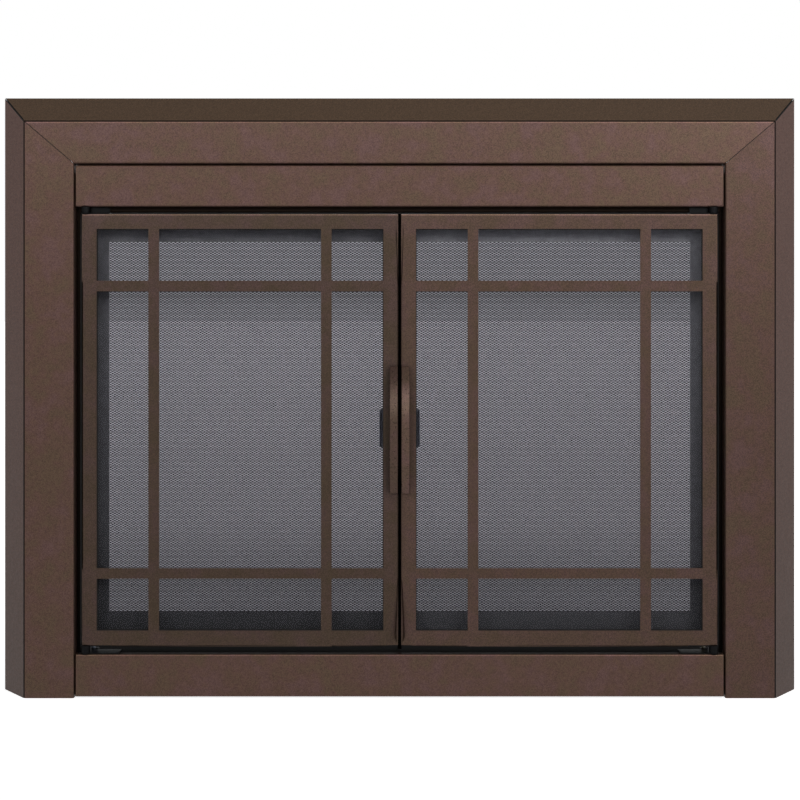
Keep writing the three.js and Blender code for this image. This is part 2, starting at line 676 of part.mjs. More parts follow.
function handleScrew(height) {
  const headFront = DOOR_SKIN_BACK + SEAT;
  const head = discY(HANDLE_X, height, SCREW_HEAD_RADIUS, headFront, headFront + SCREW_HEAD_HEIGHT);
  const shank = discY(HANDLE_X, height, SCREW_RADIUS, HANDLE_BACK - SCREW_BITE, headFront + SHEET);
  return join(head, shank);
}

// A housing under the top channel, between the back of the door and the front of the gate.
function magneticCatch() {
  const top = TOP_CHANNEL - SEAT;
  return block(CATCH_OFFSET, CATCH_OFFSET + CATCH_LENGTH, DOOR_BACK + SEAT, GATE_FRONT - SEAT,
    top - CATCH_HEIGHT, top);
}

// ---- gates --------------------------------------------------------------------------------------

const gateOutline = (inset) =>
  corners(GATE_INNER + inset, GATE_OUTER - inset, GATE_BOTTOM + inset, GATE_TOP - inset);
const MESH_WINDOW = {
  left: GATE_INNER + GATE_MEETING_STILE,
  right: GATE_OUTER - GATE_OUTER_STILE,
  bottom: GATE_BOTTOM + GATE_BOTTOM_RAIL,
  top: GATE_TOP - GATE_TOP_RAIL,
};

function gateFrame() {
  const { left, right, bottom, top } = MESH_WINDOW;
  const window = corners(left, right, bottom, top);
  const skin = piercedY(gateOutline(0), [window], GATE_FRONT, GATE_FRONT + GATE_SHEET);
  const rim = piercedY(gateOutline(0), [gateOutline(GATE_SHEET)], GATE_FRONT, GATE_BACK);
  const holes = [GATE_BOTTOM, GATE_TOP].map((z) =>
    pivotDisc(PIVOT_HOLE, z - 2 * GATE_SHEET, z + 2 * GATE_SHEET));
  return cut(join(skin, rim), ...holes);
}

// Expanded metal: rows of diamonds, each row set half a diamond on from the last, cut off square
// where they meet the border.
function gateMesh() {
  const { left, right, bottom, top } = MESH_WINDOW;
  const pitchX = (right - left) / MESH_COLUMNS;
  const pitchZ = (top - bottom) / MESH_ROWS;
  const slope = Math.hypot(pitchX, pitchZ);
  const halfX = pitchX / 2 - (MESH_STRAND / 2) * (slope / pitchZ);
  const halfZ = (halfX * pitchZ) / pitchX;
  const clampX = (x) => Math.min(Math.max(x, left), right);
  const clampZ = (z) => Math.min(Math.max(z, bottom), top);
  const holes = [];
  for (let row = 0; row <= 2 * MESH_ROWS; row += 1) {
    const shift = row % 2 ? 0.5 : 0;
    for (let column = 0; column + shift <= MESH_COLUMNS; column += 1) {
      const x = left + (column + shift) * pitchX;
      const z = bottom + (row / 2) * pitchZ;
      const diamond = [[x - halfX, z], [x, z - halfZ], [x + halfX, z], [x, z + halfZ]];
      const inside = diamond.map(([px, pz]) => [clampX(px), clampZ(pz)]);
      holes.push(inside.filter(([px, pz], i) => {
        const [nx, nz] = inside[(i + 1) % inside.length];
        return px !== nx || pz !== nz;
      }));
    }
  }
  const border = corners(left - MESH_OVERLAP, right + MESH_OVERLAP, bottom - MESH_OVERLAP,
    top + MESH_OVERLAP);
  const front = GATE_FRONT + GATE_SHEET + SEAT;
  return piercedY(border, holes, front, front + MESH_THICKNESS);
}

// A small angle on the meeting stile: one leg flat on the gate, the other standing forward.
function gatePull() {
  const back = GATE_FRONT - SEAT;
  const outer = DOOR_INNER + STILE_WIDTH + PULL_SHOW;
  const section = folded([
    [outer - PULL_WIDTH, back],
    [outer, back],
    [outer, back - PULL_REACH],
  ], GATE_SHEET, [GATE_SHEET + SEAT]);
  return barZ(section, HANDLE_MIDDLE - PULL_HEIGHT / 2, HANDLE_MIDDLE + PULL_HEIGHT / 2);
}

// An angle on the meeting edge of one gate, which closes the gap to the other gate.
function meetingStrip() {
  const edge = GATE_INNER - SEAT;
  const front = GATE_FRONT + SEAT;
  const section = folded([
    [edge, GATE_BACK - SEAT],
    [edge, front],
    [MEETING_STRIP_GAP - GATE_INNER, front],
  ], GATE_SHEET);
  return barZ(section, BOTTOM_CHANNEL + MEETING_STRIP_CLEARANCE, TOP_CHANNEL - MEETING_STRIP_CLEARANCE);
}

const TOP_BUSH_FLANGE = TOP_CHANNEL - SEAT - BUSH_FLANGE_HEIGHT;
const BOTTOM_BUSH_FLANGE = BOTTOM_CHANNEL + SEAT;

function bush(flangeFrom, flangeTo, bodyEnd) {
  const low = Math.min(flangeFrom, bodyEnd);
  const high = Math.max(flangeTo, bodyEnd);
  const flange = pivotDisc(BUSH_FLANGE_RADIUS, flangeFrom, flangeTo);
  const body = pivotDisc(BUSH_RADIUS, low, high);
  const bore = pivotDisc(PIVOT_HOLE, low - SHEET, high + SHEET);
  return cut(join(flange, body), bore);
}

const gateTopBush = () => bush(TOP_BUSH_FLANGE, TOP_BUSH_FLANGE + BUSH_FLANGE_HEIGHT,
  TOP_CHANNEL + BUSH_DEPTH);
const gateBottomBush = () => bush(BOTTOM_BUSH_FLANGE, BOTTOM_BUSH_FLANGE + BUSH_FLANGE_HEIGHT,
  BOTTOM_CHANNEL - BUSH_DEPTH);

function gatePin(tail, collarFrom, collarTo, tip) {
  return turnedZ(PIVOT_X, PIVOT_DEPTH, [
    [PIVOT_RADIUS, tail],
    [PIVOT_RADIUS, collarFrom],
    [PIVOT_COLLAR_RADIUS, collarFrom],
    [PIVOT_COLLAR_RADIUS, collarTo],
    [PIVOT_RADIUS, collarTo],
    [PIVOT_RADIUS, tip],
  ]);
}

const gateTopPin = () => gatePin(GATE_TOP - PIVOT_TAIL, GATE_TOP + SEAT, TOP_BUSH_FLANGE - RUNNING,
  TOP_CHANNEL + BUSH_DEPTH + SHEET);
const gateBottomPin = () => gatePin(BOTTOM_CHANNEL - BUSH_DEPTH - SHEET,
  BOTTOM_BUSH_FLANGE + BUSH_FLANGE_HEIGHT + RUNNING, GATE_BOTTOM - SEAT, GATE_BOTTOM + PIVOT_TAIL);

// ---- fixings ------------------------------------------------------------------------------------

const bracketBar = (line, offset) =>
  barX(folded(line, BRACKET_SHEET, [BRACKET_SHEET + SHEET]), offset - BRACKET_WIDTH / 2,
    offset + BRACKET_WIDTH / 2);
const screwHole = (offset, height) =>
  discY(offset, height, FIXING_RADIUS + SEAT, FIXING_PLANE - SHEET, FIXING_PLANE + 2 * BRACKET_SHEET);

const CLAMP_BOLT_DEPTH = CLAMP_BACK - CLAMP_BOLT_SETBACK;

// An angle on the back of the top channel, with an arm that reaches in under the lintel.
function lintelClamp() {
  const bar = bracketBar([
    [FIXING_PLANE, CLAMP_TOP - CLAMP_LEG],
    [FIXING_PLANE, CLAMP_TOP],
    [CLAMP_BACK, CLAMP_TOP],
  ], CLAMP_OFFSET);
  const boltHole = discZ(CLAMP_OFFSET, CLAMP_BOLT_DEPTH, CLAMP_BOLT_RADIUS + SEAT,
    CLAMP_TOP - 2 * BRACKET_SHEET, CLAMP_TOP + BRACKET_SHEET);
  return cut(bar, boltHole, screwHole(CLAMP_OFFSET, CLAMP_SCREW_HEIGHT));
}

// The bolt that lifts a round pad against the underside of the lintel.
function clampBolt() {
  const bottom = CLAMP_TOP - CLAMP_BOLT_DROP;
  const top = bottom + CLAMP_BOLT_LENGTH;
  const head = discZ(CLAMP_OFFSET, CLAMP_BOLT_DEPTH, CLAMP_HEAD_RADIUS, bottom - CLAMP_HEAD_HEIGHT,
    bottom, HEX);
  const shank = discZ(CLAMP_OFFSET, CLAMP_BOLT_DEPTH, CLAMP_BOLT_RADIUS, bottom - SHEET, top + SHEET,
    PIN_SIDES);
  const pad = discZ(CLAMP_OFFSET, CLAMP_BOLT_DEPTH, CLAMP_PAD_RADIUS, top, top + CLAMP_PAD_HEIGHT);
  return join(head, shank, pad);
}

// An angle on the back of the bottom channel, with a foot that is screwed to the hearth.
function floorBracket() {
  const bar = bracketBar([
    [FLOOR_BACK, 0],
    [FIXING_PLANE, 0],
    [FIXING_PLANE, FLOOR_LEG],
  ], FLOOR_OFFSET);
  const footHole = discZ(FLOOR_OFFSET, FLOOR_BACK - FLOOR_HOLE_SETBACK, FLOOR_HOLE_RADIUS,
    -BRACKET_SHEET, 2 * BRACKET_SHEET, PIN_SIDES);
  return cut(bar, footHole, screwHole(FLOOR_OFFSET, FLOOR_SCREW_HEIGHT));
}

function fixingScrew(offset, height) {
  const face = FIXING_PLANE + BRACKET_SHEET + SEAT;
  const head = discY(offset, height, FIXING_HEAD_RADIUS, face, face + FIXING_HEAD_HEIGHT, HEX);
  const shank = discY(offset, height, FIXING_RADIUS, face - FIXING_LENGTH, face + SHEET);
  return join(head, shank);
}

// ---- assembly -----------------------------------------------------------------------------------

const SIDES = { left: mirrored, right: (geometry) => geometry };

function pieceAt(pivotX, pivotY) {
  return (name, geometry, material) => {
    const centred = closedSurface(geometry).translate(-pivotX, -pivotY, 0);
    centred.computeVertexNormals();
    const mesh = new THREE.Mesh(centred, material);
    mesh.name = name;
    return mesh;
  };
}

const fixed = pieceAt(0, 0);

function surround() {
  const group = new THREE.Group();
  group.add(fixed('top_trim', topTrim(), BRONZE));
  group.add(fixed('header_panel', headerPanel(), BRONZE));
  group.add(fixed('bottom_rail', bottomRail(), BRONZE));
  group.add(fixed('top_channel', topChannel(), DARK_BRONZE));
  group.add(fixed('bottom_channel', bottomChannel(), DARK_BRONZE));
  for (const [side, hand] of Object.entries(SIDES)) {
    const add = (name, geometry, material) => group.add(fixed(`${side}_${name}`, hand(geometry), material));
    add('jamb', jamb(), BRONZE);
    add('post', post(), DARK_BRONZE);
    add('corner_bracket', cornerBracket(), DARK_BRONZE);
    add('frame_top_hinge', frameTopHinge(), BLACK);
    add('frame_bottom_hinge', frameBottomHinge(), BLACK);
    add('magnetic_catch', magneticCatch(), CATCH_BLACK);
    add('gate_top_bush', gateTopBush(), CATCH_BLACK);
    add('gate_bottom_bush', gateBottomBush(), CATCH_BLACK);
    add('lintel_clamp', lintelClamp(), ZINC);
    add('clamp_bolt', clampBolt(), ZINC);
    add('clamp_screw', fixingScrew(CLAMP_OFFSET, CLAMP_SCREW_HEIGHT), ZINC);
    add('floor_bracket', floorBracket(), ZINC);
    add('floor_screw', fixingScrew(FLOOR_OFFSET, FLOOR_SCREW_HEIGHT), ZINC);
  }
  return group;
}

// Each door and gate is a group that hangs on its own pivot line.
function hung(side, pivotX, pivotY, pieces) {
  const x = side === 'left' ? -pivotX : pivotX;
  const place = pieceAt(x, pivotY);
  const group = new THREE.Group();
  group.position.set(x, pivotY, 0);
  for (const [name, geometry, material] of pieces) {
    group.add(place(`${side}_${name}`, SIDES[side](geometry), material));
  }
  return group;
}

const door = (side) => hung(side, HINGE_X, HINGE_DEPTH, [
  ['door_frame', doorFrame(), DOOR_BRONZE],
  ['door_gasket', gasket(), GASKET],
  ['door_glass', glass(), SMOKED_GLASS],
  ['glass_retainer', glassRetainer(), BLACK],
  ['door_handle', handle(), DOOR_BRONZE],
  ['lower_handle_screw', handleScrew(handleScrewHeights[0]), ZINC],
  ['upper_handle_screw', handleScrew(handleScrewHeights[1]), ZINC],
  ['door_top_hinge', doorTopHinge(), BLACK],
  ['door_bottom_hinge', doorBottomHinge(), BLACK],
]);

const gate = (side) => hung(side, PIVOT_X, PIVOT_DEPTH, [
  ['gate_frame', gateFrame(), GATE_STEEL],
  ['gate_mesh', gateMesh(), GATE_STEEL],
  ['gate_pull', gatePull(), BLACK],
  ['gate_top_pin', gateTopPin(), ZINC],
  ['gate_bottom_pin', gateBottomPin(), ZINC],
  ...(side === 'left' ? [['gate_meeting_strip', meetingStrip(), GATE_STEEL]] : []),
]);

const fireplaceDoor = new THREE.Group();
fireplaceDoor.position.y = FACE_Y;
fireplaceDoor.add(surround());
for (const side of Object.keys(SIDES)) {
  fireplaceDoor.add(door(side));
  fireplaceDoor.add(gate(side));
}

export default fireplaceDoor;
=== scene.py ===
"""Looks of a fireplace glass door: a folded steel surround in bronze powder coat, two doors with
nine-pane faces over smoked glass, and two framed gates of expanded metal behind them.

Lengths are in millimetres, apart from the studio's, which are in metres. Depths run back from the
flat front face of the surround. A finish reads Object coordinates, which are in metres, so a length
is multiplied by MM before it is compared with them.
"""

import json
import math

import bmesh
import bpy
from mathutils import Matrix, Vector

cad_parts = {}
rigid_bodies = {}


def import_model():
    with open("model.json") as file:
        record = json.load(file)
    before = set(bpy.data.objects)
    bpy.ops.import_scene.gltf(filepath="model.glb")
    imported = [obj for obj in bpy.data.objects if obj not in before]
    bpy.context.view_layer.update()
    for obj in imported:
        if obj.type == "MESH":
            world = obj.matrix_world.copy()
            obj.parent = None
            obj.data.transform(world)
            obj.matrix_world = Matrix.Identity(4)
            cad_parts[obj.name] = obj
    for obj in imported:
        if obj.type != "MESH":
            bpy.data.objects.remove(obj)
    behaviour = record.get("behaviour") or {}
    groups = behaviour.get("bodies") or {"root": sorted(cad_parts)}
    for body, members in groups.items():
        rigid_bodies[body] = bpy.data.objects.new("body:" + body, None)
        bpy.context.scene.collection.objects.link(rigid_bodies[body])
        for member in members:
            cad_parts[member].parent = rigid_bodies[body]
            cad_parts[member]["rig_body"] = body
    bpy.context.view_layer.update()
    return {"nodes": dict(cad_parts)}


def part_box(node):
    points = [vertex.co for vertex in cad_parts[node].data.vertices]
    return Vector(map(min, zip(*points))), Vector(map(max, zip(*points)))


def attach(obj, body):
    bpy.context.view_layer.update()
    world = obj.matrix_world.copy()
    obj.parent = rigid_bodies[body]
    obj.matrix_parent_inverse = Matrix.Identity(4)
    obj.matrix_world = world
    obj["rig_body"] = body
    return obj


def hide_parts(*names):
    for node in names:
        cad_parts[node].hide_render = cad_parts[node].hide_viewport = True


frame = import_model()

MM = 0.001
SIDES = (("left", -1), ("right", 1))
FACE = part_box("header_panel")[0].y / MM


def extent(node, axis):
    """Where a CAD node starts and ends along x, along z, or along y behind the face, to 0.01 mm."""
    start = FACE if axis == "y" else 0
    return [round(getattr(corner, axis) / MM - start, 2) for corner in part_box(node)]


# ---- sizes --------------------------------------------------------------------------------------

# the surround: where its outer edge, ridge and inner edge lie, out from the middle and up
INNER, OUTER = extent("right_jamb", "x")
RIDGE = 513.5
TRIM_LIP = 10.0
TOP_INNER = extent("top_trim", "z")[0] + TRIM_LIP
TOP_OUTER = extent("top_trim", "z")[1]
TOP_RIDGE = 789.0
DEPTH = extent("right_jamb", "y")[1]
TRIM_RETURN = 17.0
WALL_LIP = 12.0
GROOVE = 1.6
GROOVE_DEPTH = 0.9
# how wide the mitres stand open at the inner edge, at the ridge and at the outer edge
INNER_GAP = 0.2
RIDGE_GAP = 0.4
OUTER_GAP = 0.6

# sheet metal, and the outer radii of its folds
SHEET = 1.5
SHEET_EASE = 0.22
BEND = 2.4
WALL_BEND = 0.5
GROOVE_LIP_BEND = 0.35
GROOVE_FLOOR_BEND = 0.15
DOOR_BEND = 1.0

# the header and the bottom rail: how far back their folded pans go, and where their end flanges start
PANELS = ("header_panel", "bottom_rail")
PANEL_END = extent("header_panel", "x")[1]
PANEL_BACK = extent("header_panel", "y")[1]
PAN_BACK = 11.7
FLANGE_FRONT = 11.5

# a door: its stiles and muntins, how far in its muntins' middles are, and its flange for the catch
DOOR_EDGES = extent("right_door_frame", "x")
DOOR_FOOT, DOOR_TOP = extent("right_door_frame", "z")
DOOR_FRONT, DOOR_BACK = extent("right_door_frame", "y")
STILE = 20.1
MUNTIN = 14.6
MUNTIN_INSET = 98.2
STRIKE = 10.0

# the pulls: bars bowed out from a flat base, each cut away behind its bow but for the two feet
PULL_EDGES = extent("right_door_handle", "x")
PULL_FOOT, PULL_TOP = extent("right_door_handle", "z")
PULL_FRONT, PULL_BASE = extent("right_door_handle", "y")
PULL_MIDDLE = (PULL_FOOT + PULL_TOP) / 2
PULL_HALF = (PULL_TOP - PULL_FOOT) / 2
PULL_BAR = 7.0
PULL_END_LENGTH = 18.0
PULL_END_HEIGHT = 4.0

# expanded metal: its cells, its strands, and how far inside the CAD sheet's edge the net ends
CELL_WIDTH = 5.79
CELL_HEIGHT = 3.37
STRAND_WIDTH = 1.25
STRAND_THICKNESS = 0.42
STRAND_TILT = 20
NET_MARGIN = 0.6

# ---- tones --------------------------------------------------------------------------------------

# tones as they look on screen, from 0 to 255: the side bevels' at the foot and at the top, and the
# heights between which one turns into the other, then the top bevel's. They are painted shade: how
# the light falls on the bevels, darker toward the foot and on the top bevel
SIDE_BEVEL_SHADED_TONES = ((69, 49, 41), (103, 76, 68))
SIDE_BEVEL_HEIGHTS = (50, 750)
TOP_BEVEL_SHADED_TONE = (95, 74, 56)
# how much of its tone the face of the right jamb keeps: painted shade on the right jamb's face
RIGHT_FACE_PAINTED_SHADE = 0.86

BRONZE_METALLIC = 0.5
BRONZE_SPECULAR = 0.2
# painted shade where a sheet is turned back behind its face: how much, over how far, and from what
# depth on the bottom rail and on the doors
RETURN_SHADE = 0.85
RETURN_SHADE_SPREAD = 1.5
RAIL_SHADE_FROM = 2.0
DOOR_SHADE_FROM = DOOR_FRONT + 1.4

# where the marks of the surround end: between the jambs, and at three edges that are soft, which keep
# them to the bottom rail, to the two panels and to the right jamb
BETWEEN_JAMBS = INNER - 0.2
BELOW_DOORS = (100, 110)
BELOW_TRIM = (728.5, 729)
RIGHT_JAMB = (444, 445)

# the dark lines of the surround: their half widths and how dark they are. A mitre has one of each on
# the face and another on the bevel, and changes between them just past the ridge. A ridge's line is
# painted shade in its groove, and has one width on the jambs and another on the trim
MITRE_LINE = (0.5, 1.5)
MITRE_DARK = (0.75, 0.97)
MITRE_CHANGE = (0, 2)
RIDGE_LINE = (0.9, 0.7)
RIDGE_GROOVE_SHADE = 0.85

# the painted highlights along the folds and under the ridge: how far in from a fold or below the
# ridge they lie, and how much light they add
FOLD_LINE = 0.9
UNDER_RIDGE_LINE = 2.0
SURROUND_LIGHT = 0.9
PANEL_END_LIGHT = 0.5
DOOR_LIGHT = 2.2

# the painted shadow of the pulls on the stiles beside them: how far it reaches from the middle and how
# far short of a pull's ends it stops, its soft edges across and along, and how deep it is on the left and
# right
PULL_SHADOW_REACH = 17
PULL_SHADOW_INSET = 6
PULL_SHADOW_EDGES = (7, 16)
PULL_SHADOW_DEPTHS = (0.36, 0.2)

# smoked glass: its tint, and how much of it is left at some heights within its range, which is painted
# shade: the muntins' shadows on the net behind, and a darker bottom row
GLASS_TINT = (0.615, 0.61, 0.67)
GLASS_RANGE = (50, 700)
GLASS_SHADE_LEVELS = ((60, 0.92), (135, 0.95), (162, 0.83), (166, 1.0), (505, 1.0), (535, 0.91), (555, 0.74),
                (560, 1.0))

# paint: how far its mottling goes from its tone, and the heights between which painted shade darkens it
# toward the hearth, where it does
MOTTLE = 0.12
HEARTH_SHADE = (50, 670)

# ---- light and camera ---------------------------------------------------------------------------

# softboxes, in watts and metres: a wide one above the camera, and a small one on each side
KEY = 24
KEY_PLACE, KEY_AIM, KEY_SIZE = (0.25, -2.3, 1.5), (0.1, 0, 0.5), (3.2, 1.1)
KICKS = (4.5, 9.0)
KICK_PLACE, KICK_AIM, KICK_SIZE = (1.3, -1.7, 1.35), (0.45, 0, 0.75), (0.6, 0.4)

# how bright the world is: as a fill, and as a coat mirrors it
FILL = 0.42
MIRRORED = 0.9
# what is left of it by direction: upward, where 1 is straight up, and from straight left at 0 to
# straight right at 1
UPWARD_LEVELS = ((0.12, 1), (0.62, 0.5))
SIDEWAYS_LEVELS = ((0, 0.5), (0.37, 0.75), (0.63, 0.96), (1, 0.58))

# how far the floor goes from the door, and how far its tones are graded, in metres
FLOOR_REACH = 40
GRADE_REACH = 10

# the camera, in millimetres
CAMERA_PLACE = (0.5, -1884, 538.8)
CAMERA_SENSOR = 36
CAMERA_LENS = 62.04
CAMERA_SHIFT = -0.12


# ---- meshes -------------------------------------------------------------------------------------


def metres(x, depth, z):
    """A place in the frame from its distance to the right, its depth and its height."""
    return Vector((x * MM, (FACE + depth) * MM, z * MM))


def piece(name, bm, body, finish, slot, nodes=(), **how):
    """Closes a bmesh into a named piece that rides on a body and stands for its CAD nodes."""
    mesh = bpy.data.meshes.new(name)
    bm.normal_update()
    bm.to_mesh(mesh)
    bm.free()
    return dressed(name, mesh, body, finish, slot, nodes, **how)


def settle(made):
    """Keeps what an object's modifiers make as its own mesh."""
    baked = bpy.data.meshes.new_from_object(made.evaluated_get(bpy.context.evaluated_depsgraph_get()))
    made.modifiers.clear()
    made.data = baked


def dressed(name, mesh, body, finish, slot, nodes=(), smooth=30, sheet=0, even=True):
    """Makes the object. A sheet thickness turns a skin into folded metal with eased edges."""
    mesh.materials.clear()
    mesh.materials.append(finish)
    made = bpy.data.objects.new(name, mesh)
    bpy.context.scene.collection.objects.link(made)
    if sheet:
        wall = made.modifiers.new("sheet", "SOLIDIFY")
        wall.thickness = sheet * MM
        wall.offset = -1
        wall.use_even_offset = True
        soft = made.modifiers.new("eased edges", "BEVEL")
        soft.width = SHEET_EASE * MM
        soft.segments = 2
        soft.limit_method = "ANGLE"
        soft.angle_limit = math.radians(50)
        settle(made)
    made.data.polygons.foreach_set("use_smooth", [True] * len(made.data.polygons))
    made.data.set_sharp_from_angle(angle=math.radians(smooth))
    if even:
        flat = made.modifiers.new("flat faces stay flat", "WEIGHTED_NORMAL")
        flat.keep_sharp = True
        settle(made)
    if nodes:
        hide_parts(*nodes)
    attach(made, body)
    return made


def softened(bm, width, segments=2, above=30):
    """Rounds every edge that turns by more than an angle."""
    least = math.radians(above)
    sharp = [e for e in bm.edges if len(e.link_faces) == 2 and e.calc_face_angle(0) > least]
    bmesh.ops.bevel(bm, geom=sharp, offset=width * MM, segments=segments, profile=0.5, affect="EDGES",
                    clamp_overlap=True)


def merged_copy(node):
    """The CAD node's mesh with its corners shared and its flat faces whole."""
    bm = bmesh.new()
    bm.from_mesh(frame["nodes"][node].data)
    bmesh.ops.remove_doubles(bm, verts=bm.verts, dist=0.002 * MM)
    bmesh.ops.dissolve_limit(bm, angle_limit=math.radians(0.5), verts=bm.verts, edges=bm.edges)
    return bm


def eased(node, finish, slot, width, smooth=35):
    """A CAD node with its edges eased, as paint, plating or a tool leaves them."""
    bm = merged_copy(node)
    softened(bm, width)
    body = frame["nodes"][node]["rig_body"]
    return piece(f"{node}_shell", bm, body, finish, slot, [node], smooth=smooth)


def unit(a, b):
    """The direction from one point to another."""
    length = math.hypot(b[0] - a[0], b[1] - a[1])
    return ((b[0] - a[0]) / length, (b[1] - a[1]) / length)


def bent(line, radii, steps):
    """A fold line with its corners turned at the given radii. A radius of nought leaves one sharp."""
    points = [line[0]]
    for before, corner, after, radius in zip(line, line[1:], line[2:], radii):
        if radius <= 0:
            points.append(corner)
            continue
        into, out = unit(before, corner), unit(corner, after)
        turn = math.atan2(into[0] * out[1] - into[1] * out[0], into[0] * out[0] + into[1] * out[1])
        reach = radius * math.tan(abs(turn) / 2)
        side = math.copysign(1, turn)
        start = (corner[0] - into[0] * reach, corner[1] - into[1] * reach)
        centre = (start[0] - side * into[1] * radius, start[1] + side * into[0] * radius)
        first = math.atan2(start[1] - centre[1], start[0] - centre[0])
        for k in range(steps + 1):
            angle = first + turn * k / steps
            points.append((centre[0] + radius * math.cos(angle), centre[1] + radius * math.sin(angle)))
    points.append(line[-1])
    return points


def beside(points, distance):
    """The same line, a distance to the right of the direction of travel."""
    moved = []
    for i, point in enumerate(points):
        into = unit(points[i - 1], point) if i else unit(point, points[1])
        out = unit(point, points[i + 1]) if i < len(points) - 1 else into
        scale = distance / (1 + into[0] * out[0] + into[1] * out[1])
        moved.append((point[0] + (into[1] + out[1]) * scale, point[1] - (into[0] + out[0]) * scale))
    return moved


def prism(bm, section, first, last, place):
    """A closed section run from one end to the other. first and last give each point's ends."""
    near, far = ([bm.verts.new(place(p, end(p))) for p in section] for end in (first, last))
    for i, (a, b) in enumerate(zip(near, far)):
        after = (i + 1) % len(section)
        bm.faces.new((a, near[after], far[after], b))
    bm.faces.new(near[::-1])
    bm.faces.new(far)
    bmesh.ops.recalc_face_normals(bm, faces=bm.faces)


def slab(bm, x, depth, z):
    """A plain block between pairs of x, depth and z."""
    corners = [bm.verts.new(metres(a, b, c)) for c in z for b in depth for a in x]
    for face in ((0, 2, 3, 1), (4, 5, 7, 6), (0, 1, 5, 4), (2, 6, 7, 3), (0, 4, 6, 2), (1, 3, 7, 5)):
        bm.faces.new([corners[i] for i in face])


def pan(bm, xs, zs, front, back, radius, holes=()):
    """The outer skin of a folded pan, on a grid of xs and zs, with its outer bends rounded.

    holes holds the (column, row) cells that are left out."""
    grid = {(i, j): bm.verts.new(metres(x, front, z)) for i, x in enumerate(xs) for j, z in enumerate(zs)}
    columns, rows = len(xs) - 1, len(zs) - 1
    for i in range(columns):
        for j in range(rows):
            if (i, j) not in holes:
                bm.faces.new([grid[c] for c in ((i, j), (i + 1, j), (i + 1, j + 1), (i, j + 1))])
    rim = [(i, 0) for i in range(columns)] + [(columns, j) for j in range(rows)]
    rim += [(i, rows) for i in range(columns, 0, -1)] + [(0, j) for j in range(rows, 0, -1)]
    rear = {(i, j): bm.verts.new(metres(xs[i], back, zs[j])) for i, j in rim}
    bends = []
    for a, b in zip(rim, rim[1:] + rim[:1]):
        bm.faces.new([grid[b], grid[a], rear[a], rear[b]])
        bends.append(bm.edges.get((grid[a], grid[b])))
    bmesh.ops.bevel(bm, geom=bends, offset=radius * MM, segments=6, profile=0.5, affect="EDGES")


# ---- surround -----------------------------------------------------------------------------------


def grooved_section(run, across):
    """The surround's section: wall lip, bevel, ridge with its groove, face and return.

    run holds the fold line, with the ridge third, and across the sheet's thickness."""
    ridge = run[2]
    toward, away = unit(ridge, run[1]), unit(ridge, run[3])
    half = GROOVE / 2
    lips = [(ridge[0] + d[0] * half, ridge[1] + d[1] * half) for d in (toward, away)]
    inward = unit((0, 0), (toward[0] + away[0], toward[1] + away[1]))
    floor = [(p[0] + inward[0] * GROOVE_DEPTH, p[1] + inward[1] * GROOVE_DEPTH) for p in lips]
    groove = [GROOVE_LIP_BEND, GROOVE_FLOOR_BEND, GROOVE_FLOOR_BEND, GROOVE_LIP_BEND]
    outer = bent([*run[:2], lips[0], *floor, lips[1], *run[3:]], [WALL_BEND, *groove, BEND, 0], steps=5)
    plain = bent(run, [WALL_BEND, BEND, BEND, 0], steps=8)
    return outer + beside(plain, across)[::-1]


def mitre_height(x):
    """How high the mitre stands at a distance from the middle."""
    if x > RIDGE:
        return TOP_RIDGE + (x - RIDGE) * (TOP_OUTER - TOP_RIDGE) / (OUTER - RIDGE)
    return TOP_RIDGE + (x - RIDGE) * (TOP_RIDGE - TOP_INNER) / (RIDGE - INNER)


def mitre_reach(z):
    """How far from the middle the mitre is at a height."""
    if z > TOP_RIDGE:
        return RIDGE + (z - TOP_RIDGE) * (OUTER - RIDGE) / (TOP_OUTER - TOP_RIDGE)
    return RIDGE + (z - TOP_RIDGE) * (RIDGE - INNER) / (TOP_RIDGE - TOP_INNER)


def mitre_gap(beyond):
    """How far a piece stands back from the joint, which opens along the bevel."""
    if beyond > 0:
        gap = RIDGE_GAP + (OUTER_GAP - RIDGE_GAP) * beyond / (OUTER - RIDGE)
    else:
        gap = RIDGE_GAP + (RIDGE_GAP - INNER_GAP) * max(beyond / (RIDGE - INNER), -1)
    return gap * math.sqrt(0.5)


def build_surround(coat):
    """The two jambs and the top trim, each one section run to the mitres."""
    jamb = grooved_section([(OUTER - WALL_LIP, DEPTH), (OUTER, DEPTH), (RIDGE, 0), (INNER, 0),
                            (INNER, DEPTH)], SHEET)
    for side, sign in SIDES:
        bm = bmesh.new()
        prism(bm, jamb, lambda p: 0, lambda p: mitre_height(p[0]) - mitre_gap(p[0] - RIDGE),
              lambda p, end: metres(sign * p[0], p[1], end))
        softened(bm, width=0.2, above=50)
        piece(f"{side}_jamb_shell", bm, "surround", coat, "bronze_powder_coat", [f"{side}_jamb"])

    def reach(p):
        return mitre_reach(p[0]) - mitre_gap(p[0] - TOP_RIDGE)

    trim = grooved_section([(TOP_OUTER - WALL_LIP, DEPTH), (TOP_OUTER, DEPTH), (TOP_RIDGE, 0),
                            (TOP_INNER, 0), (TOP_INNER, TRIM_RETURN), (TOP_INNER - TRIM_LIP, TRIM_RETURN)],
                           SHEET)
    bm = bmesh.new()
    prism(bm, trim, lambda p: -reach(p), reach, lambda p, end: metres(end, p[1], p[0]))
    softened(bm, width=0.2, above=50)
    piece("top_trim_shell", bm, "surround", coat, "bronze_powder_coat", ["top_trim"])


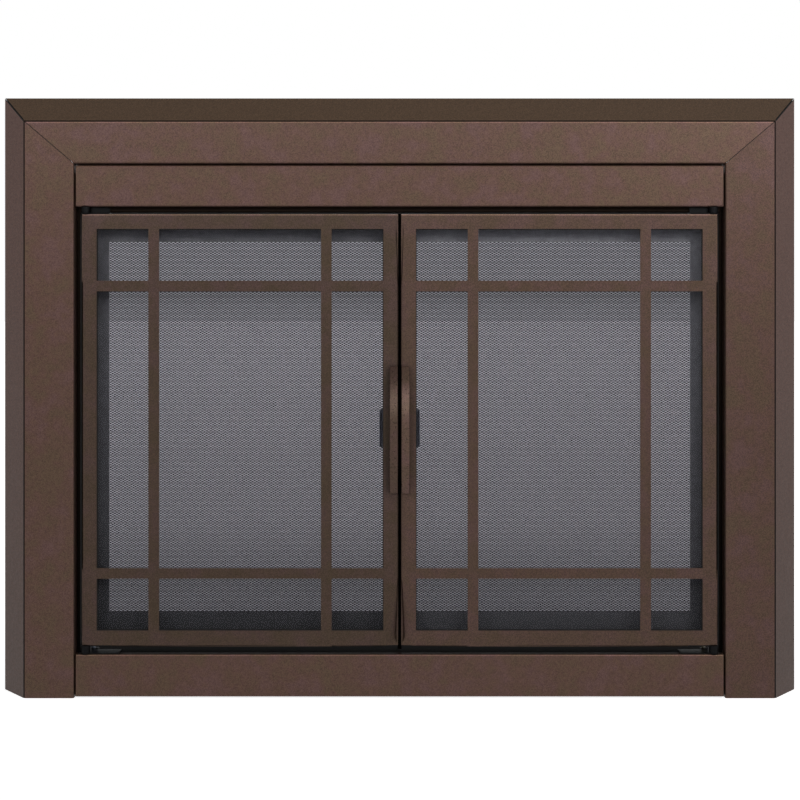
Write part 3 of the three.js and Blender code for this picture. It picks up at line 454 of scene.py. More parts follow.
def build_panels(coat):
    """The header and the bottom rail: a folded pan each, with a deeper flange at both ends."""
    for node in PANELS:
        low, high = extent(node, "z")
        bm = bmesh.new()
        pan(bm, (-PANEL_END, PANEL_END), (low, high), 0, PAN_BACK, BEND)
        bmesh.ops.recalc_face_normals(bm, faces=bm.faces)
        piece(f"{node}_pan", bm, "surround", coat, "bronze_powder_coat", [node], sheet=SHEET)
        bm = bmesh.new()
        for _, sign in SIDES:
            edge = sorted((sign * PANEL_END, sign * (PANEL_END - SHEET)))
            slab(bm, edge, (FLANGE_FRONT, PANEL_BACK), (low + BEND, high - BEND))
        bmesh.ops.recalc_face_normals(bm, faces=bm.faces)
        softened(bm, width=0.25)
        piece(f"{node}_end_flanges", bm, "surround", coat, "bronze_powder_coat")


# ---- doors --------------------------------------------------------------------------------------


def pane_lines(low, high):
    """The edges of the stiles, muntins and panes, from one edge of a door to the other."""
    half = MUNTIN / 2
    return (low, low + STILE, low + MUNTIN_INSET - half, low + MUNTIN_INSET + half,
            high - MUNTIN_INSET - half, high - MUNTIN_INSET + half, high - STILE, high)


def build_doors(coats):
    """The one-piece door faces with their nine panes, and the flange that each catch holds."""
    panes = {(i, j) for i in (1, 3, 5) for j in (1, 3, 5)}
    for side, sign in SIDES:
        body, coat = f"{side}_door", coats[side]
        xs = sorted(sign * x for x in pane_lines(*DOOR_EDGES))
        bm = bmesh.new()
        pan(bm, xs, pane_lines(DOOR_FOOT, DOOR_TOP), DOOR_FRONT, DOOR_BACK, DOOR_BEND, panes)
        piece(f"{side}_door_face", bm, body, coat, "bronze_powder_coat", [f"{side}_door_frame"],
              sheet=SHEET)
        bm = bmesh.new()
        across = sorted(sign * x for x in (DOOR_EDGES[0] + SHEET, DOOR_EDGES[1] - SHEET))
        slab(bm, across, (DOOR_BACK - SHEET, DOOR_BACK), (DOOR_TOP - STRIKE, DOOR_TOP - SHEET))
        bmesh.ops.recalc_face_normals(bm, faces=bm.faces)
        softened(bm, width=0.3)
        piece(f"{side}_door_strike_flange", bm, body, coat, "bronze_powder_coat")


def arc(base, rise, half_chord, steps):
    """Depths and heights along a bow that rises toward the room from a base, round the pull's middle."""
    radius = (half_chord**2 + rise**2) / (2 * rise)
    reach = math.asin(half_chord / radius)
    angles = [reach * (2 * i / steps - 1) for i in range(steps + 1)]
    return [(base - rise + radius * (1 - math.cos(a)), PULL_MIDDLE + radius * math.sin(a)) for a in angles]


def build_pulls(coat):
    """The bowed pulls, each an outline in depth and height run across its bar."""
    rise = PULL_BASE - PULL_FRONT
    outside = arc(PULL_BASE - PULL_END_HEIGHT, rise - PULL_END_HEIGHT, PULL_HALF, 44)
    inside = arc(PULL_BASE, rise - PULL_BAR, PULL_HALF - PULL_END_LENGTH, 36)
    outline = [(PULL_BASE, PULL_FOOT), *outside, (PULL_BASE, PULL_TOP), *inside[::-1]]
    for side, sign in SIDES:
        bm = bmesh.new()
        near, far = (sign * x for x in PULL_EDGES)
        prism(bm, outline, lambda p: near, lambda p: far, lambda p, end: metres(end, p[0], p[1]))
        softened(bm, width=1.1, segments=4, above=25)
        piece(f"{side}_door_pull", bm, f"{side}_door", coat, "bronze_powder_coat", [f"{side}_door_handle"],
              smooth=40)


# ---- expanded metal -----------------------------------------------------------------------------


def expanded_metal_tree():
    """Rows of zigzag strands that touch at their bonds, each a tilted strip."""
    tree = bpy.data.node_groups.new("expanded metal", "GeometryNodeTree")
    sockets = {}
    for name, kind in (("Geometry", "NodeSocketGeometry"), ("Start", "NodeSocketVector"),
                       ("Points In A Strand", "NodeSocketInt"), ("Strands", "NodeSocketInt"),
                       ("Cell Width", "NodeSocketFloat"), ("Cell Height", "NodeSocketFloat"),
                       ("Strand Width", "NodeSocketFloat"), ("Strand Thickness", "NodeSocketFloat"),
                       ("Strand Tilt", "NodeSocketFloat"), ("Finish", "NodeSocketMaterial")):
        sockets[name] = tree.interface.new_socket(name, in_out="INPUT", socket_type=kind).identifier
    tree.interface.new_socket("Geometry", in_out="OUTPUT", socket_type="NodeSocketGeometry")
    node = tree.nodes.new
    link = tree.links.new
    given = node("NodeGroupInput").outputs

    def sums(operation, a, b):
        n = node("ShaderNodeMath")
        n.operation = operation
        for socket, value in zip(n.inputs, (a, b)):
            if isinstance(value, (int, float)):
                socket.default_value = value
            else:
                link(value, socket)
        return n.outputs[0]

    def vector(axis, value):
        n = node("ShaderNodeCombineXYZ")
        link(value, n.inputs[axis])
        return n.outputs[0]

    half_cell = sums("MULTIPLY", given["Cell Width"], 0.5)
    row = sums("MULTIPLY", given["Cell Height"], 0.5)
    swing = sums("SUBTRACT", row, given["Strand Width"])
    profile = node("GeometryNodeCurvePrimitiveQuadrilateral")
    link(given["Strand Thickness"], profile.inputs["Width"])
    link(given["Strand Width"], profile.inputs["Height"])
    tilt = node("GeometryNodeTransform")
    link(profile.outputs[0], tilt.inputs["Geometry"])
    link(vector("Z", given["Strand Tilt"]), tilt.inputs["Rotation"])

    def strand(phase):
        line = node("GeometryNodeMeshLine")
        link(given["Points In A Strand"], line.inputs["Count"])
        link(vector("X", half_cell), line.inputs["Offset"])
        parity = sums("MODULO", sums("ADD", node("GeometryNodeInputIndex").outputs[0], phase), 2)
        move = node("GeometryNodeSetPosition")
        link(line.outputs[0], move.inputs["Geometry"])
        link(vector("Z", sums("MULTIPLY", parity, swing)), move.inputs["Offset"])
        curve = node("GeometryNodeMeshToCurve")
        link(move.outputs[0], curve.inputs[0])
        normals = node("GeometryNodeSetCurveNormal")
        normals.mode = "Z_UP"
        link(curve.outputs[0], normals.inputs["Curve"])
        solid = node("GeometryNodeCurveToMesh")
        link(normals.outputs[0], solid.inputs["Curve"])
        link(tilt.outputs[0], solid.inputs["Profile Curve"])
        solid.inputs["Fill Caps"].default_value = True
        return solid.outputs[0]

    pair = node("GeometryNodeGeometryToInstance")
    for phase in (1, 0):
        link(strand(phase), pair.inputs[0])
    rows = node("GeometryNodeMeshLine")
    link(given["Strands"], rows.inputs["Count"])
    link(given["Start"], rows.inputs["Start Location"])
    link(vector("Z", row), rows.inputs["Offset"])
    spread = node("GeometryNodeInstanceOnPoints")
    link(rows.outputs[0], spread.inputs["Points"])
    link(pair.outputs[0], spread.inputs["Instance"])
    spread.inputs["Pick Instance"].default_value = True
    link(sums("MODULO", node("GeometryNodeInputIndex").outputs[0], 2), spread.inputs["Instance Index"])
    real = node("GeometryNodeRealizeInstances")
    link(spread.outputs[0], real.inputs[0])
    coat = node("GeometryNodeSetMaterial")
    link(real.outputs[0], coat.inputs["Geometry"])
    link(given["Finish"], coat.inputs["Material"])
    link(coat.outputs[0], node("NodeGroupOutput").inputs[0])
    return tree, sockets


def grown(name, tree, sockets, values):
    """Runs a node tree once and returns the mesh it makes."""
    host = bpy.data.objects.new(name, bpy.data.meshes.new(name))
    bpy.context.scene.collection.objects.link(host)
    nodes = host.modifiers.new("pattern", "NODES")
    nodes.node_group = tree
    for key, value in values.items():
        nodes[sockets[key]] = value
    bpy.context.view_layer.update()
    mesh = bpy.data.meshes.new_from_object(host.evaluated_get(bpy.context.evaluated_depsgraph_get()))
    bpy.data.objects.remove(host)
    return mesh


def build_nets(finish):
    """A net in each gate, in two pieces so that neither has too many triangles."""
    tree, sockets = expanded_metal_tree()
    for side, _ in SIDES:
        low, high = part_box(f"{side}_gate_mesh")
        left, right = low.x / MM + NET_MARGIN, high.x / MM - NET_MARGIN
        bottom, top = low.z / MM + NET_MARGIN, high.z / MM - NET_MARGIN
        points = int((right - left) / (CELL_WIDTH / 2)) + 1
        strands = int((top - bottom) / (CELL_HEIGHT / 2))
        left += ((right - left) - (points - 1) * CELL_WIDTH / 2) / 2
        middle = (low.y + high.y) / 2
        half = strands // 2 // 2 * 2
        for part, first, count, nodes in (("lower", 0, half, [f"{side}_gate_mesh"]),
                                          ("upper", half, strands - half, [])):
            start = bottom + first * CELL_HEIGHT / 2 + STRAND_WIDTH / 2
            mesh = grown(f"{side}_net", tree, sockets, {
                "Start": (left * MM, middle, start * MM),
                "Points In A Strand": points,
                "Strands": count,
                "Cell Width": CELL_WIDTH * MM,
                "Cell Height": CELL_HEIGHT * MM,
                "Strand Width": STRAND_WIDTH * MM,
                "Strand Thickness": STRAND_THICKNESS * MM,
                "Strand Tilt": math.radians(STRAND_TILT),
                "Finish": finish,
            })
            dressed(f"{side}_gate_net_{part}", mesh, f"{side}_gate", finish, "expanded_mesh", nodes,
                    smooth=89, even=False)


# ---- finishes -----------------------------------------------------------------------------------


def grey(tone):
    """An even grey, as a material takes it."""
    return (tone, tone, tone)


def mark_ramp(node, stops):
    """Gives a colour ramp its stops, each a place and a colour."""
    marks = node.color_ramp.elements
    while len(marks) < len(stops):
        marks.new(0.5)
    for mark, (at, colour) in zip(marks, stops):
        mark.position = at
        mark.color = (*colour, 1)


class Finish:
    """A procedural material. Every pattern reads Object coordinates, so its scale is per metre."""

    def __init__(self, name):
        self.material = bpy.data.materials.new(name)
        self.material.use_nodes = True
        self.tree = self.material.node_tree
        self.tree.nodes.clear()
        self.place = self.add("ShaderNodeTexCoord").outputs["Object"]
        self.shader = self.add("ShaderNodeBsdfPrincipled")
        output = self.add("ShaderNodeOutputMaterial")
        self.join(self.shader.outputs[0], output.inputs["Surface"])

    def add(self, kind, **settings):
        node = self.tree.nodes.new(kind)
        for key, value in settings.items():
            setattr(node, key, value)
        return node

    def join(self, source, target):
        """Links a socket to the target, or writes a number or a colour in it."""
        if isinstance(source, (int, float)):
            target.default_value = source
        elif isinstance(source, tuple):
            opaque = len(source) == 3 and len(target.default_value) == 4
            target.default_value = (*source, 1) if opaque else source
        else:
            self.tree.links.new(source, target)

    def feed(self, **inputs):
        """Joins sources to the shader's inputs, named in small letters with underscores."""
        for key, source in inputs.items():
            name = key.replace("_", " ").title().replace("Ior", "IOR")
            self.join(source, self.shader.inputs[name])

    def spot(self):
        """The place's X, Y and Z."""
        node = self.add("ShaderNodeSeparateXYZ")
        self.join(self.place, node.inputs[0])
        return node.outputs

    def noise(self, scale, detail, rough=0.5, stretch=None):
        node = self.add("ShaderNodeTexNoise")
        place = self.place
        if stretch:
            mapping = self.add("ShaderNodeMapping")
            self.join(place, mapping.inputs["Vector"])
            mapping.inputs["Scale"].default_value = stretch
            place = mapping.outputs[0]
        self.join(place, node.inputs["Vector"])
        node.inputs["Scale"].default_value = scale
        node.inputs["Detail"].default_value = detail
        node.inputs["Roughness"].default_value = rough
        return node.outputs["Fac"]

    def cells(self, scale):
        """A random grey in each cell."""
        node = self.add("ShaderNodeTexVoronoi")
        self.join(self.place, node.inputs["Vector"])
        node.inputs["Scale"].default_value = scale
        level = self.add("ShaderNodeRGBToBW")
        self.join(node.outputs["Color"], level.inputs[0])
        return level.outputs[0]

    def ramp(self, source, *stops):
        node = self.add("ShaderNodeValToRGB")
        self.join(source, node.inputs[0])
        mark_ramp(node, stops)
        return node.outputs[0]

    def spread(self, source, low, high, out_low, out_high):
        """Turns values between low and high into values between out_low and out_high."""
        node = self.add("ShaderNodeMapRange")
        self.join(source, node.inputs["Value"])
        for name, value in (("From Min", low), ("From Max", high), ("To Min", out_low), ("To Max", out_high)):
            node.inputs[name].default_value = value
        return node.outputs[0]

    def across(self, edge, value, before, after):
        """One value before a soft edge, whose two sides are in millimetres, and another after it."""
        start, end = edge
        return self.spread(value, start * MM, end * MM, before, after)

    def drift(self, scale, detail, low, high, stretch=None):
        """Noise that wanders between two values."""
        return self.spread(self.noise(scale, detail, stretch=stretch), 0.3, 0.7, low, high)

    def sums(self, operation, a, b=0):
        node = self.add("ShaderNodeMath", operation=operation)
        self.join(a, node.inputs[0])
        self.join(b, node.inputs[1])
        return node.outputs[0]

    def plus(self, a, b):
        return self.sums("ADD", a, b)

    def minus(self, a, b):
        return self.sums("SUBTRACT", a, b)

    def times(self, a, b):
        return self.sums("MULTIPLY", a, b)

    def larger(self, a, b):
        return self.sums("MAXIMUM", a, b)

    def unsigned(self, a):
        return self.sums("ABSOLUTE", a)

    def without(self, mask):
        """What a mask leaves."""
        return self.minus(1, mask)

    def scaled(self, colour, factor):
        node = self.add("ShaderNodeVectorMath", operation="SCALE")
        self.join(colour, node.inputs[0])
        self.join(factor, node.inputs["Scale"])
        return node.outputs[0]

    def blend(self, factor, a, b, kind="MIX"):
        """One colour over another. A colour's sockets are the seventh and eighth of a Mix node."""
        node = self.add("ShaderNodeMix", data_type="RGBA", blend_type=kind)
        self.join(factor, node.inputs[0])
        self.join(a, node.inputs[6])
        self.join(b, node.inputs[7])
        return node.outputs[2]

    def near(self, value, half, soft=0.5):
        """1 within a distance of nought, in metres, that falls off over a soft edge in millimetres."""
        edge = self.minus(self.unsigned(value), half)
        return self.spread(edge, 0, soft * MM, 1, 0)

    def past(self, value):
        """1 above nought, and 0 below it."""
        return self.spread(value, -0.2 * MM, 0.2 * MM, 0, 1)

    def line_at(self, value, at):
        """A thin line where a length in metres is at so many millimetres."""
        return self.near(self.minus(value, at * MM), 0.3 * MM)

    def halves(self, spot, left, right):
        """One value on the left half and another on the right."""
        return self.spread(spot["X"], -MM, MM, left, right)

    def height(self, source, strength, distance):
        node = self.add("ShaderNodeBump")
        self.join(source, node.inputs["Height"])
        node.inputs["Strength"].default_value = strength
        node.inputs["Distance"].default_value = distance
        self.join(node.outputs[0], self.shader.inputs["Normal"])


def linear(red, green, blue):
    """A colour written as it looks on screen, from 0 to 255."""
    return tuple(c / 255 / 12.92 if c <= 10.31 else ((c / 255 + 0.055) / 1.055) ** 2.4
                 for c in (red, green, blue))


def bronze_coat(name, olive, brown, mauve, rough=(0.4, 0.5), marks=None, left=1.0):
    """Powder coat: soft drifts between three browns, metal flake and a slight orange peel.

    left is how much of its tone is kept on the left half, painted shade on that half. marks adds the
    piece's painted shade, painted highlights and dark lines, and tells where painted shade falls behind
    a face, which also takes away its metal and sheen."""
    coat = Finish(name)
    browns = zip((0.36, 0.5, 0.64), (linear(*tone) for tone in (olive, brown, mauve)))
    colour = coat.ramp(coat.noise(34, 4, 0.62), *browns)
    flake = coat.spread(coat.cells(900), 0.2, 0.8, 0.78, 1.26)
    shade = coat.times(flake, coat.drift(2100, 1, 0.84, 1.18))
    metallic, specular = BRONZE_METALLIC, BRONZE_SPECULAR
    # painted shade on the left half
    if left < 1:
        shade = coat.times(shade, coat.halves(coat.spot(), left, 1))
    if marks:
        colour, shade, turned = marks(coat, colour, shade)
        # turned is the painted shade behind a face; there it takes away metal and sheen too
        kept = coat.without(turned)
        metallic, specular = coat.times(kept, metallic), coat.times(kept, specular)
    coat.feed(base_color=coat.scaled(colour, shade), metallic=metallic, specular_ior_level=specular,
              roughness=coat.drift(260, 2, *rough), coat_weight=0.06, coat_roughness=0.2)
    coat.height(coat.noise(1300, 2), 0.06, 0.0006)
    return coat.material


def shade_behind_face(coat, spot, depth):
    """How much painted shade falls on what is turned back behind a face."""
    start = FACE + depth
    return coat.spread(spot["Y"], start * MM, (start + RETURN_SHADE_SPREAD) * MM, 0, RETURN_SHADE)


def surround_marks(coat, colour, shade):
    """The painted shade of the bevels and of the right face, the dark lines of the mitres, the painted
    shade in the ridge's groove and behind the rail's face, and the painted highlights of the folds."""
    spot = coat.spot()
    across = coat.unsigned(spot["X"])
    beyond = coat.minus(across, RIDGE * MM)
    above = coat.minus(spot["Z"], TOP_RIDGE * MM)
    slopes = ((TOP_OUTER - TOP_RIDGE) / (OUTER - RIDGE), (TOP_RIDGE - TOP_INNER) / (RIDGE - INNER))
    off_mitre = coat.minus(above, coat.larger(*(coat.times(beyond, slope) for slope in slopes)))
    on_trim = coat.past(off_mitre)
    on_jamb = coat.without(on_trim)
    on_side_bevel = coat.past(beyond)
    # painted shade: the bevels take the tones that the light gives them
    tone = coat.blend(coat.across(SIDE_BEVEL_HEIGHTS, spot["Z"], 0, 1),
                      *(linear(*c) for c in SIDE_BEVEL_SHADED_TONES))
    colour = coat.blend(coat.times(on_side_bevel, on_jamb), colour, tone)
    colour = coat.blend(coat.times(coat.past(above), on_trim), colour, linear(*TOP_BEVEL_SHADED_TONE))

    # dark: the mitres' dark lines outside the opening, and painted shade in the ridge's groove and on the
    # bottom rail's edges turned back
    inside = coat.without(coat.past(coat.minus(across, BETWEEN_JAMBS * MM)))
    half = coat.across(MITRE_CHANGE, beyond, *(line * MM for line in MITRE_LINE))
    mitre = coat.times(coat.near(off_mitre, half), coat.across(MITRE_CHANGE, beyond, *MITRE_DARK))
    mitre = coat.times(mitre, coat.without(inside))
    ridge = coat.larger(coat.times(coat.near(beyond, RIDGE_LINE[0] * MM), on_jamb),
                        coat.times(coat.near(above, RIDGE_LINE[1] * MM), on_trim))
    below_doors = coat.across(BELOW_DOORS, spot["Z"], 1, 0)
    returns = coat.times(shade_behind_face(coat, spot, RAIL_SHADE_FROM), coat.times(inside, below_doors))
    dark = coat.larger(coat.larger(mitre, coat.times(ridge, RIDGE_GROOVE_SHADE)), returns)

    # painted highlights: under the trim's ridge, and along the tops and ends of the header and the rail
    under_ridge = coat.times(coat.line_at(above, -UNDER_RIDGE_LINE), on_trim)
    tops = coat.larger(*(coat.line_at(spot["Z"], extent(node, "z")[1] - FOLD_LINE) for node in PANELS))
    ends = coat.times(coat.line_at(across, PANEL_END - FOLD_LINE), PANEL_END_LIGHT)
    panels = coat.times(inside, coat.across(BELOW_TRIM, spot["Z"], 1, 0))
    folds = coat.times(coat.larger(tops, ends), panels)
    light = coat.times(coat.larger(under_ridge, folds), SURROUND_LIGHT)
    shade = coat.times(shade, coat.minus(coat.plus(light, 1), dark))

    # painted shade on the face of the right jamb
    right = coat.across(RIGHT_JAMB, spot["X"], 0, 1)
    right_face = coat.times(right, coat.times(on_jamb, coat.without(on_side_bevel)))
    shade = coat.times(shade, coat.spread(right_face, 0, 1, 1, RIGHT_FACE_PAINTED_SHADE))
    return colour, shade, returns


def door_marks(coat, colour, shade):
    """A painted highlight along the fold at the top of a door, the painted shadow of the pulls on the
    stiles beside them, and painted shade behind the face."""
    spot = coat.spot()
    # painted highlight along the fold at the door's top
    light = coat.times(coat.line_at(spot["Z"], DOOR_TOP - FOLD_LINE), DOOR_LIGHT)
    dark = shade_behind_face(coat, spot, DOOR_SHADE_FROM)
    # painted shadow of the pulls on the stiles
    across = coat.near(spot["X"], PULL_SHADOW_REACH * MM, PULL_SHADOW_EDGES[0])
    along = coat.near(coat.minus(spot["Z"], PULL_MIDDLE * MM), (PULL_HALF - PULL_SHADOW_INSET) * MM,
                      PULL_SHADOW_EDGES[1])
    deeper = coat.times(coat.times(across, along), coat.halves(spot, *PULL_SHADOW_DEPTHS))
    shade = coat.times(shade, coat.without(deeper))
    return colour, coat.times(shade, coat.minus(coat.plus(light, 1), dark)), dark


def painted_steel(name, tone, rough, metallic=0.0, shine=0.5, foot=1.0):
    """Smooth paint, a little mottled. foot is how much of its tone is left at the hearth, where painted shade
    darkens it.
    """
    paint = Finish(name)
    dark, light = (tuple(c * level for c in linear(*tone)) for level in (1 - MOTTLE, 1 + MOTTLE))
    colour = paint.ramp(paint.noise(120, 4, 0.6), (0.35, dark), (0.65, light))
    if foot < 1:
        colour = paint.scaled(colour, paint.across(HEARTH_SHADE, paint.spot()["Z"], foot, 1))
    paint.feed(base_color=colour, metallic=metallic, specular_ior_level=shine,
               roughness=paint.drift(300, 2, *rough))
    paint.height(paint.noise(1800, 2), 0.03, 0.0003)
    return paint.material


def zinc_plate(name):
    """Bright plating with a faint yellow and blue bloom and drawn grain."""
    plate = Finish(name)
    bloom = plate.ramp(plate.noise(60, 3), (0.36, linear(196, 186, 150)), (0.5, linear(186, 188, 190)),
                       (0.66, linear(168, 180, 204)))
    grain = plate.drift(500, 2, 0.9, 1.06, stretch=(1, 1, 0.06))
    plate.feed(base_color=plate.scaled(bloom, grain), metallic=1.0,
               roughness=plate.drift(220, 3, 0.24, 0.42))
    plate.height(plate.noise(700, 2, stretch=(1, 1, 0.08)), 0.05, 0.0003)
    return plate.material


def woven_tape(name):
    """Black glass-fibre tape with a plain weave."""
    tape = Finish(name)
    threads = []
    for direction in ("X", "Z"):
        wave = tape.add("ShaderNodeTexWave", wave_type="BANDS", bands_direction=direction)
        tape.join(tape.place, wave.inputs["Vector"])
        wave.inputs["Scale"].default_value = 220
        threads.append(wave.outputs["Fac"])
    weave = tape.times(*threads)
    tape.feed(base_color=tape.ramp(weave, (0.0, linear(20, 18, 17)), (1.0, linear(46, 43, 41))),
              roughness=0.95)
    tape.height(weave, 0.5, 0.0006)
    return tape.material


def smoked_glass(name):
    """Grey glass. Its tint is a little deeper below the muntins and in the bottom row of panes, painted
    shade for the muntins' shadows on the net behind and a dimmer bottom row.
    """
    glass = Finish(name)
    height = glass.across(GLASS_RANGE, glass.spot()["Z"], 0, 1)
    low, high = GLASS_RANGE
    stops = [((z - low) / (high - low), tuple(c * level for c in GLASS_TINT)) for z, level in GLASS_SHADE_LEVELS]
    glass.feed(base_color=glass.ramp(height, *stops), roughness=0.0, ior=1.45,
               specular_tint=(0.12, 0.12, 0.13), transmission_weight=1.0)
    return glass.material


def moulded_plastic(name, tone):
    """Dull plastic with a fine spark-eroded grain."""
    shell = Finish(name)
    colour = linear(*tone)
    dark = tuple(c * 0.8 for c in colour)
    shell.feed(base_color=shell.ramp(shell.noise(400, 3), (0.3, dark), (0.7, colour)),
               roughness=shell.drift(900, 2, 0.5, 0.65))
    shell.height(shell.noise(2400, 1), 0.12, 0.0003)
    return shell.material


# ---- pieces from the CAD with eased edges -------------------------------------------------------


def build_rest(finishes):
    """Everything that keeps its CAD shape: channels, posts, fixings, hinges, glass and gates."""

    def dress(node, finish, slot, **how):
        return eased(node, finishes[finish], slot, **how)

    for node in ("top_channel", "bottom_channel"):
        dress(node, "inner", "dark_inner_steel", width=0.3)
    for side, _ in SIDES:
        dress(f"{side}_post", "inner", "dark_inner_steel", width=0.25)
        dress(f"{side}_corner_bracket", "inner", "dark_inner_steel", width=0.15)
        for node in ("lintel_clamp", "floor_bracket"):
            dress(f"{side}_{node}", "zinc", "zinc_plated_steel", width=0.35)
        for node in ("clamp_bolt", "clamp_screw", "floor_screw", "upper_handle_screw", "lower_handle_screw",
                     "gate_top_pin", "gate_bottom_pin"):
            dress(f"{side}_{node}", "zinc", "zinc_plated_steel", width=0.3, smooth=50)
        for node in ("frame_top_hinge", "frame_bottom_hinge", "door_top_hinge", "door_bottom_hinge"):
            dress(f"{side}_{node}", "black", "black_hinge_steel", width=0.25, smooth=40)
        dress(f"{side}_glass_retainer", "black", "black_hinge_steel", width=0.25)
        dress(f"{side}_gate_pull", "pull", "black_hinge_steel", width=0.3)
        dress(f"{side}_gate_frame", f"{side} gate", "grey_gate_steel", width=0.3)
        dress(f"{side}_door_gasket", "tape", "glass_fibre_gasket", width=0.5)
        dress(f"{side}_door_glass", "glass", "smoked_glass", width=0.5).visible_shadow = False
        for node in ("magnetic_catch", "gate_top_bush", "gate_bottom_bush"):
            dress(f"{side}_{node}", "plastic", "black_plastic", width=0.4, smooth=50)
    dress("left_gate_meeting_strip", "meeting gap shade", "grey_gate_steel", width=0.25)


# ---- studio -------------------------------------------------------------------------------------


def build_world():
    """White to the camera and through glass. As light it is dimmer overhead and to the sides.

    A Mix node takes numbers in its third and fourth sockets and colours in its seventh and eighth."""
    world = bpy.data.worlds.new("studio")
    bpy.context.scene.world = world
    world.use_nodes = True
    tree = world.node_tree
    node = tree.nodes.new
    link = tree.links.new
    background = tree.nodes["Background"]
    direction = node("ShaderNodeSeparateXYZ")
    link(node("ShaderNodeTexCoord").outputs["Generated"], direction.inputs[0])
    height = node("ShaderNodeValToRGB")
    link(direction.outputs["Z"], height.inputs[0])
    mark_ramp(height, [(at, grey(tone)) for at, tone in UPWARD_LEVELS])
    path = node("ShaderNodeLightPath")
    fill = node("ShaderNodeMix")
    fill.data_type = "FLOAT"
    fill.inputs[2].default_value = FILL
    fill.inputs[3].default_value = MIRRORED
    link(path.outputs["Is Glossy Ray"], fill.inputs[0])
    turned = node("ShaderNodeMapRange")
    link(direction.outputs["X"], turned.inputs["Value"])
    turned.inputs["From Min"].default_value = -1
    side = node("ShaderNodeValToRGB")
    link(turned.outputs[0], side.inputs[0])
    mark_ramp(side, [(at, grey(tone)) for at, tone in SIDEWAYS_LEVELS])
    level = node("ShaderNodeMath")
    level.operation = "MULTIPLY"
    link(fill.outputs[0], level.inputs[0])
    link(side.outputs[0], level.inputs[1])
    dimmed = node("ShaderNodeVectorMath")
    dimmed.operation = "SCALE"
    link(height.outputs[0], dimmed.inputs[0])
    link(level.outputs[0], dimmed.inputs["Scale"])
    seen = node("ShaderNodeMath")
    seen.operation = "MAXIMUM"
    link(path.outputs["Is Camera Ray"], seen.inputs[0])
    link(path.outputs["Is Transmission Ray"], seen.inputs[1])
    mix = node("ShaderNodeMix")
    mix.data_type = "RGBA"
    mix.inputs[7].default_value = (1, 1, 1, 1)
    link(seen.outputs[0], mix.inputs[0])
    link(dimmed.outputs[0], mix.inputs[6])
    link(mix.outputs[2], background.inputs["Color"])


def floor_finish():
    """A pale floor that gives off what each kind of ray should find, by its distance from the door.

    The camera finds it white. Through glass it dims toward the foot of the door, and a coat mirrors it
    darkest a little way in front of the door."""
    paint = Finish("pale floor")
    path = paint.add("ShaderNodeLightPath").outputs
    spot = paint.spot()

    def graded(*stops, along="Y"):
        return paint.ramp(paint.spread(spot[along], -GRADE_REACH, GRADE_REACH, 0, 1),
                          *[((at + GRADE_REACH) / (2 * GRADE_REACH), grey(tone)) for at, tone in stops])

    # painted shade: behind paints the door's shadow on the floor as glass shows it, and before and
    # to_each_side darken what a coat mirrors near the door
    behind = graded((-3, 0.42), (-0.3, 0.3), (0.2, 0.3), (0.9, 0.5), (1.5, 0.72), (4, 0.9), (9, 1.0))
    before = graded((-9, 0.82), (-4, 0.62), (-1.6, 0.48), (-0.7, 0.5), (-0.2, 0.62))
    to_each_side = graded((-1.0, 0.5), (-0.65, 0.1), (0.65, 0.1), (1.0, 0.6), along="X")
    mirrored = paint.blend(1.0, before, to_each_side, "LIGHTEN")
    seen = graded((-3.5, 0.95), (-1.2, 0.68), (-0.4, 0.62), (0.6, 0.95))
    total = paint.blend(path["Is Glossy Ray"], (0, 0, 0), mirrored)
    total = paint.blend(path["Is Camera Ray"], total, seen)
    total = paint.blend(path["Is Transmission Ray"], total, behind)
    paint.feed(emission_color=total, emission_strength=1.0, roughness=0.9,
               base_color=paint.blend(path["Is Camera Ray"], (0.8, 0.8, 0.8), (0.9, 0.9, 0.9)))
    return paint.material


def softbox(name, place, aim, size, power):
    """A rectangular lamp at a place, turned to what it lights. Glass doesn't show it."""
    data = bpy.data.lights.new(name, "AREA")
    data.shape = "RECTANGLE"
    data.size, data.size_y = size
    data.energy = power
    lamp = bpy.data.objects.new(name, data)
    lamp.location = place
    lamp.rotation_euler = (Vector(aim) - Vector(place)).to_track_quat("-Z", "Y").to_euler()
    lamp.visible_transmission = False
    bpy.context.scene.collection.objects.link(lamp)


def build_studio():
    """A pale floor, a wide soft light above the camera and an even fill from the sides."""
    build_world()
    corners = [(x * FLOOR_REACH, y * FLOOR_REACH, 0) for x, y in ((-1, -1), (1, -1), (1, 1), (-1, 1))]
    floor_mesh = bpy.data.meshes.new("floor")
    floor_mesh.from_pydata(corners, [], [(0, 1, 2, 3)])
    floor_mesh.materials.append(floor_finish())
    floor = bpy.data.objects.new("floor", floor_mesh)
    bpy.context.scene.collection.objects.link(floor)
    softbox("key softbox", KEY_PLACE, KEY_AIM, KEY_SIZE, KEY)
    for (side, sign), power in zip(SIDES, KICKS):
        place, aim = ((sign * x, y, z) for x, y, z in (KICK_PLACE, KICK_AIM))
        softbox(f"{side} softbox", place, aim, KICK_SIZE, power)


def build_camera():
    """The photograph's view: level, from the front, and shifted down to frame the whole."""
    data = bpy.data.cameras.new("camera")
    data.sensor_width = CAMERA_SENSOR
    data.lens = CAMERA_LENS
    data.shift_y = CAMERA_SHIFT
    camera = bpy.data.objects.new("camera", data)
    camera.location = metres(*CAMERA_PLACE)
    camera.rotation_euler = (math.radians(90), 0, 0)
    bpy.context.scene.collection.objects.link(camera)
    bpy.context.scene.camera = camera


# ---- the whole ----------------------------------------------------------------------------------

bpy.context.scene.view_settings.view_transform = "Standard"
build_camera()
build_studio()

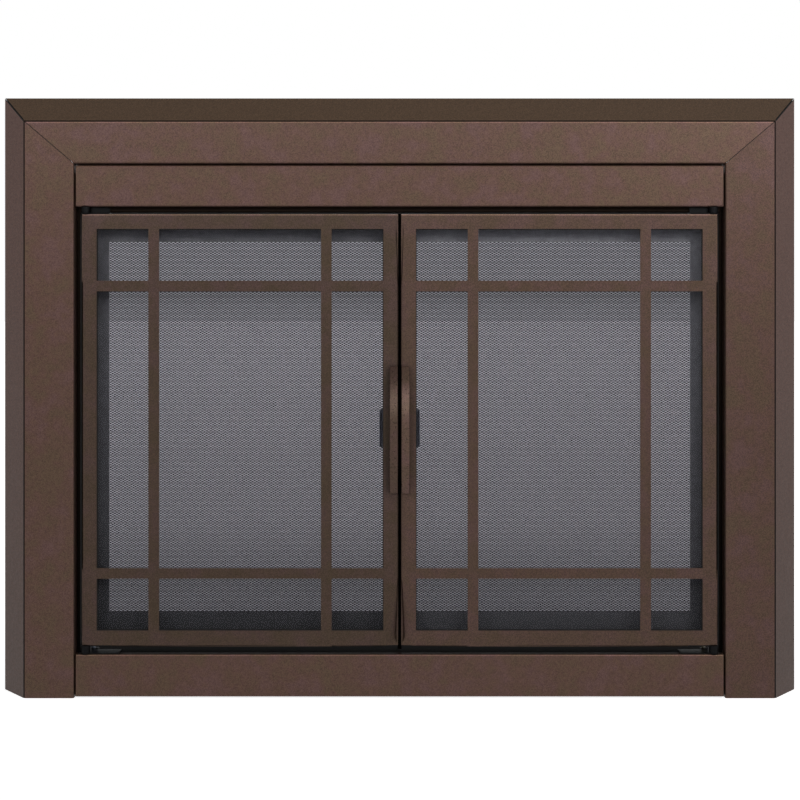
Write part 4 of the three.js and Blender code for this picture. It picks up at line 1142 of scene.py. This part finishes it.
surround_coat = bronze_coat("bronze powder coat", (84, 66, 53), (86, 64, 55), (89, 66, 62),
                            marks=surround_marks)
# the left door's coat is a darker copy of the right's: painted shade on the left door
door_coats = {
    "left": bronze_coat("bronze coat of the left door", (66, 53, 41), (69, 54, 45), (72, 55, 50),
                        marks=door_marks),
    "right": bronze_coat("bronze coat of the right door", (74, 58, 46), (77, 59, 50), (80, 60, 55),
                         marks=door_marks),
}
# the pulls keep less of their tone on the left: painted shade on the left pull
pull_coat = bronze_coat("bronze coat of the pulls", (84, 67, 55), (87, 68, 58), (91, 69, 64),
                        rough=(0.26, 0.33), left=0.78)
finishes = {
    # the dark inner coat is partly the parts' own dark tone and partly painted shade of the recesses they sit
    # in, darker still toward the hearth
    "inner": painted_steel("dark inner coat", (34, 25, 20), rough=(0.8, 0.9), shine=0.08, foot=0.15),
    # the meeting strip's near-black paint is painted shade in the gap between the doors
    "meeting gap shade": painted_steel("near-black paint shading the meeting gap", (10, 7, 6), rough=(0.8, 0.9), shine=0.05),
    "black": painted_steel("black hinge paint", (13, 13, 14), rough=(0.33, 0.43), shine=0.08),
    "pull": painted_steel("blue black steel", (100, 102, 107), rough=(0.35, 0.5), metallic=0.3),
    # the gates darken toward the hearth, painted shade, and the right gate's paint is a lighter copy of the
    # left's, painted light on the right
    "left gate": painted_steel("charcoal gate paint", (110, 110, 108), rough=(0.5, 0.65), shine=0.25,
                               foot=0.19),
    "right gate": painted_steel("charcoal gate paint with painted light on the right", (137, 137, 135), rough=(0.5, 0.65),
                                shine=0.25, foot=0.19),
    "net": painted_steel("expanded metal coat", (34, 34, 40), rough=(0.5, 0.6), shine=0.3),
    "zinc": zinc_plate("zinc plate"),
    "tape": woven_tape("woven glass-fibre tape"),
    "glass": smoked_glass("smoked glass"),
    "plastic": moulded_plastic("black moulded plastic", (30, 30, 32)),
}

build_surround(surround_coat)
build_panels(surround_coat)
build_doors(door_coats)
build_pulls(pull_coat)
build_nets(finishes["net"])
build_rest(finishes)
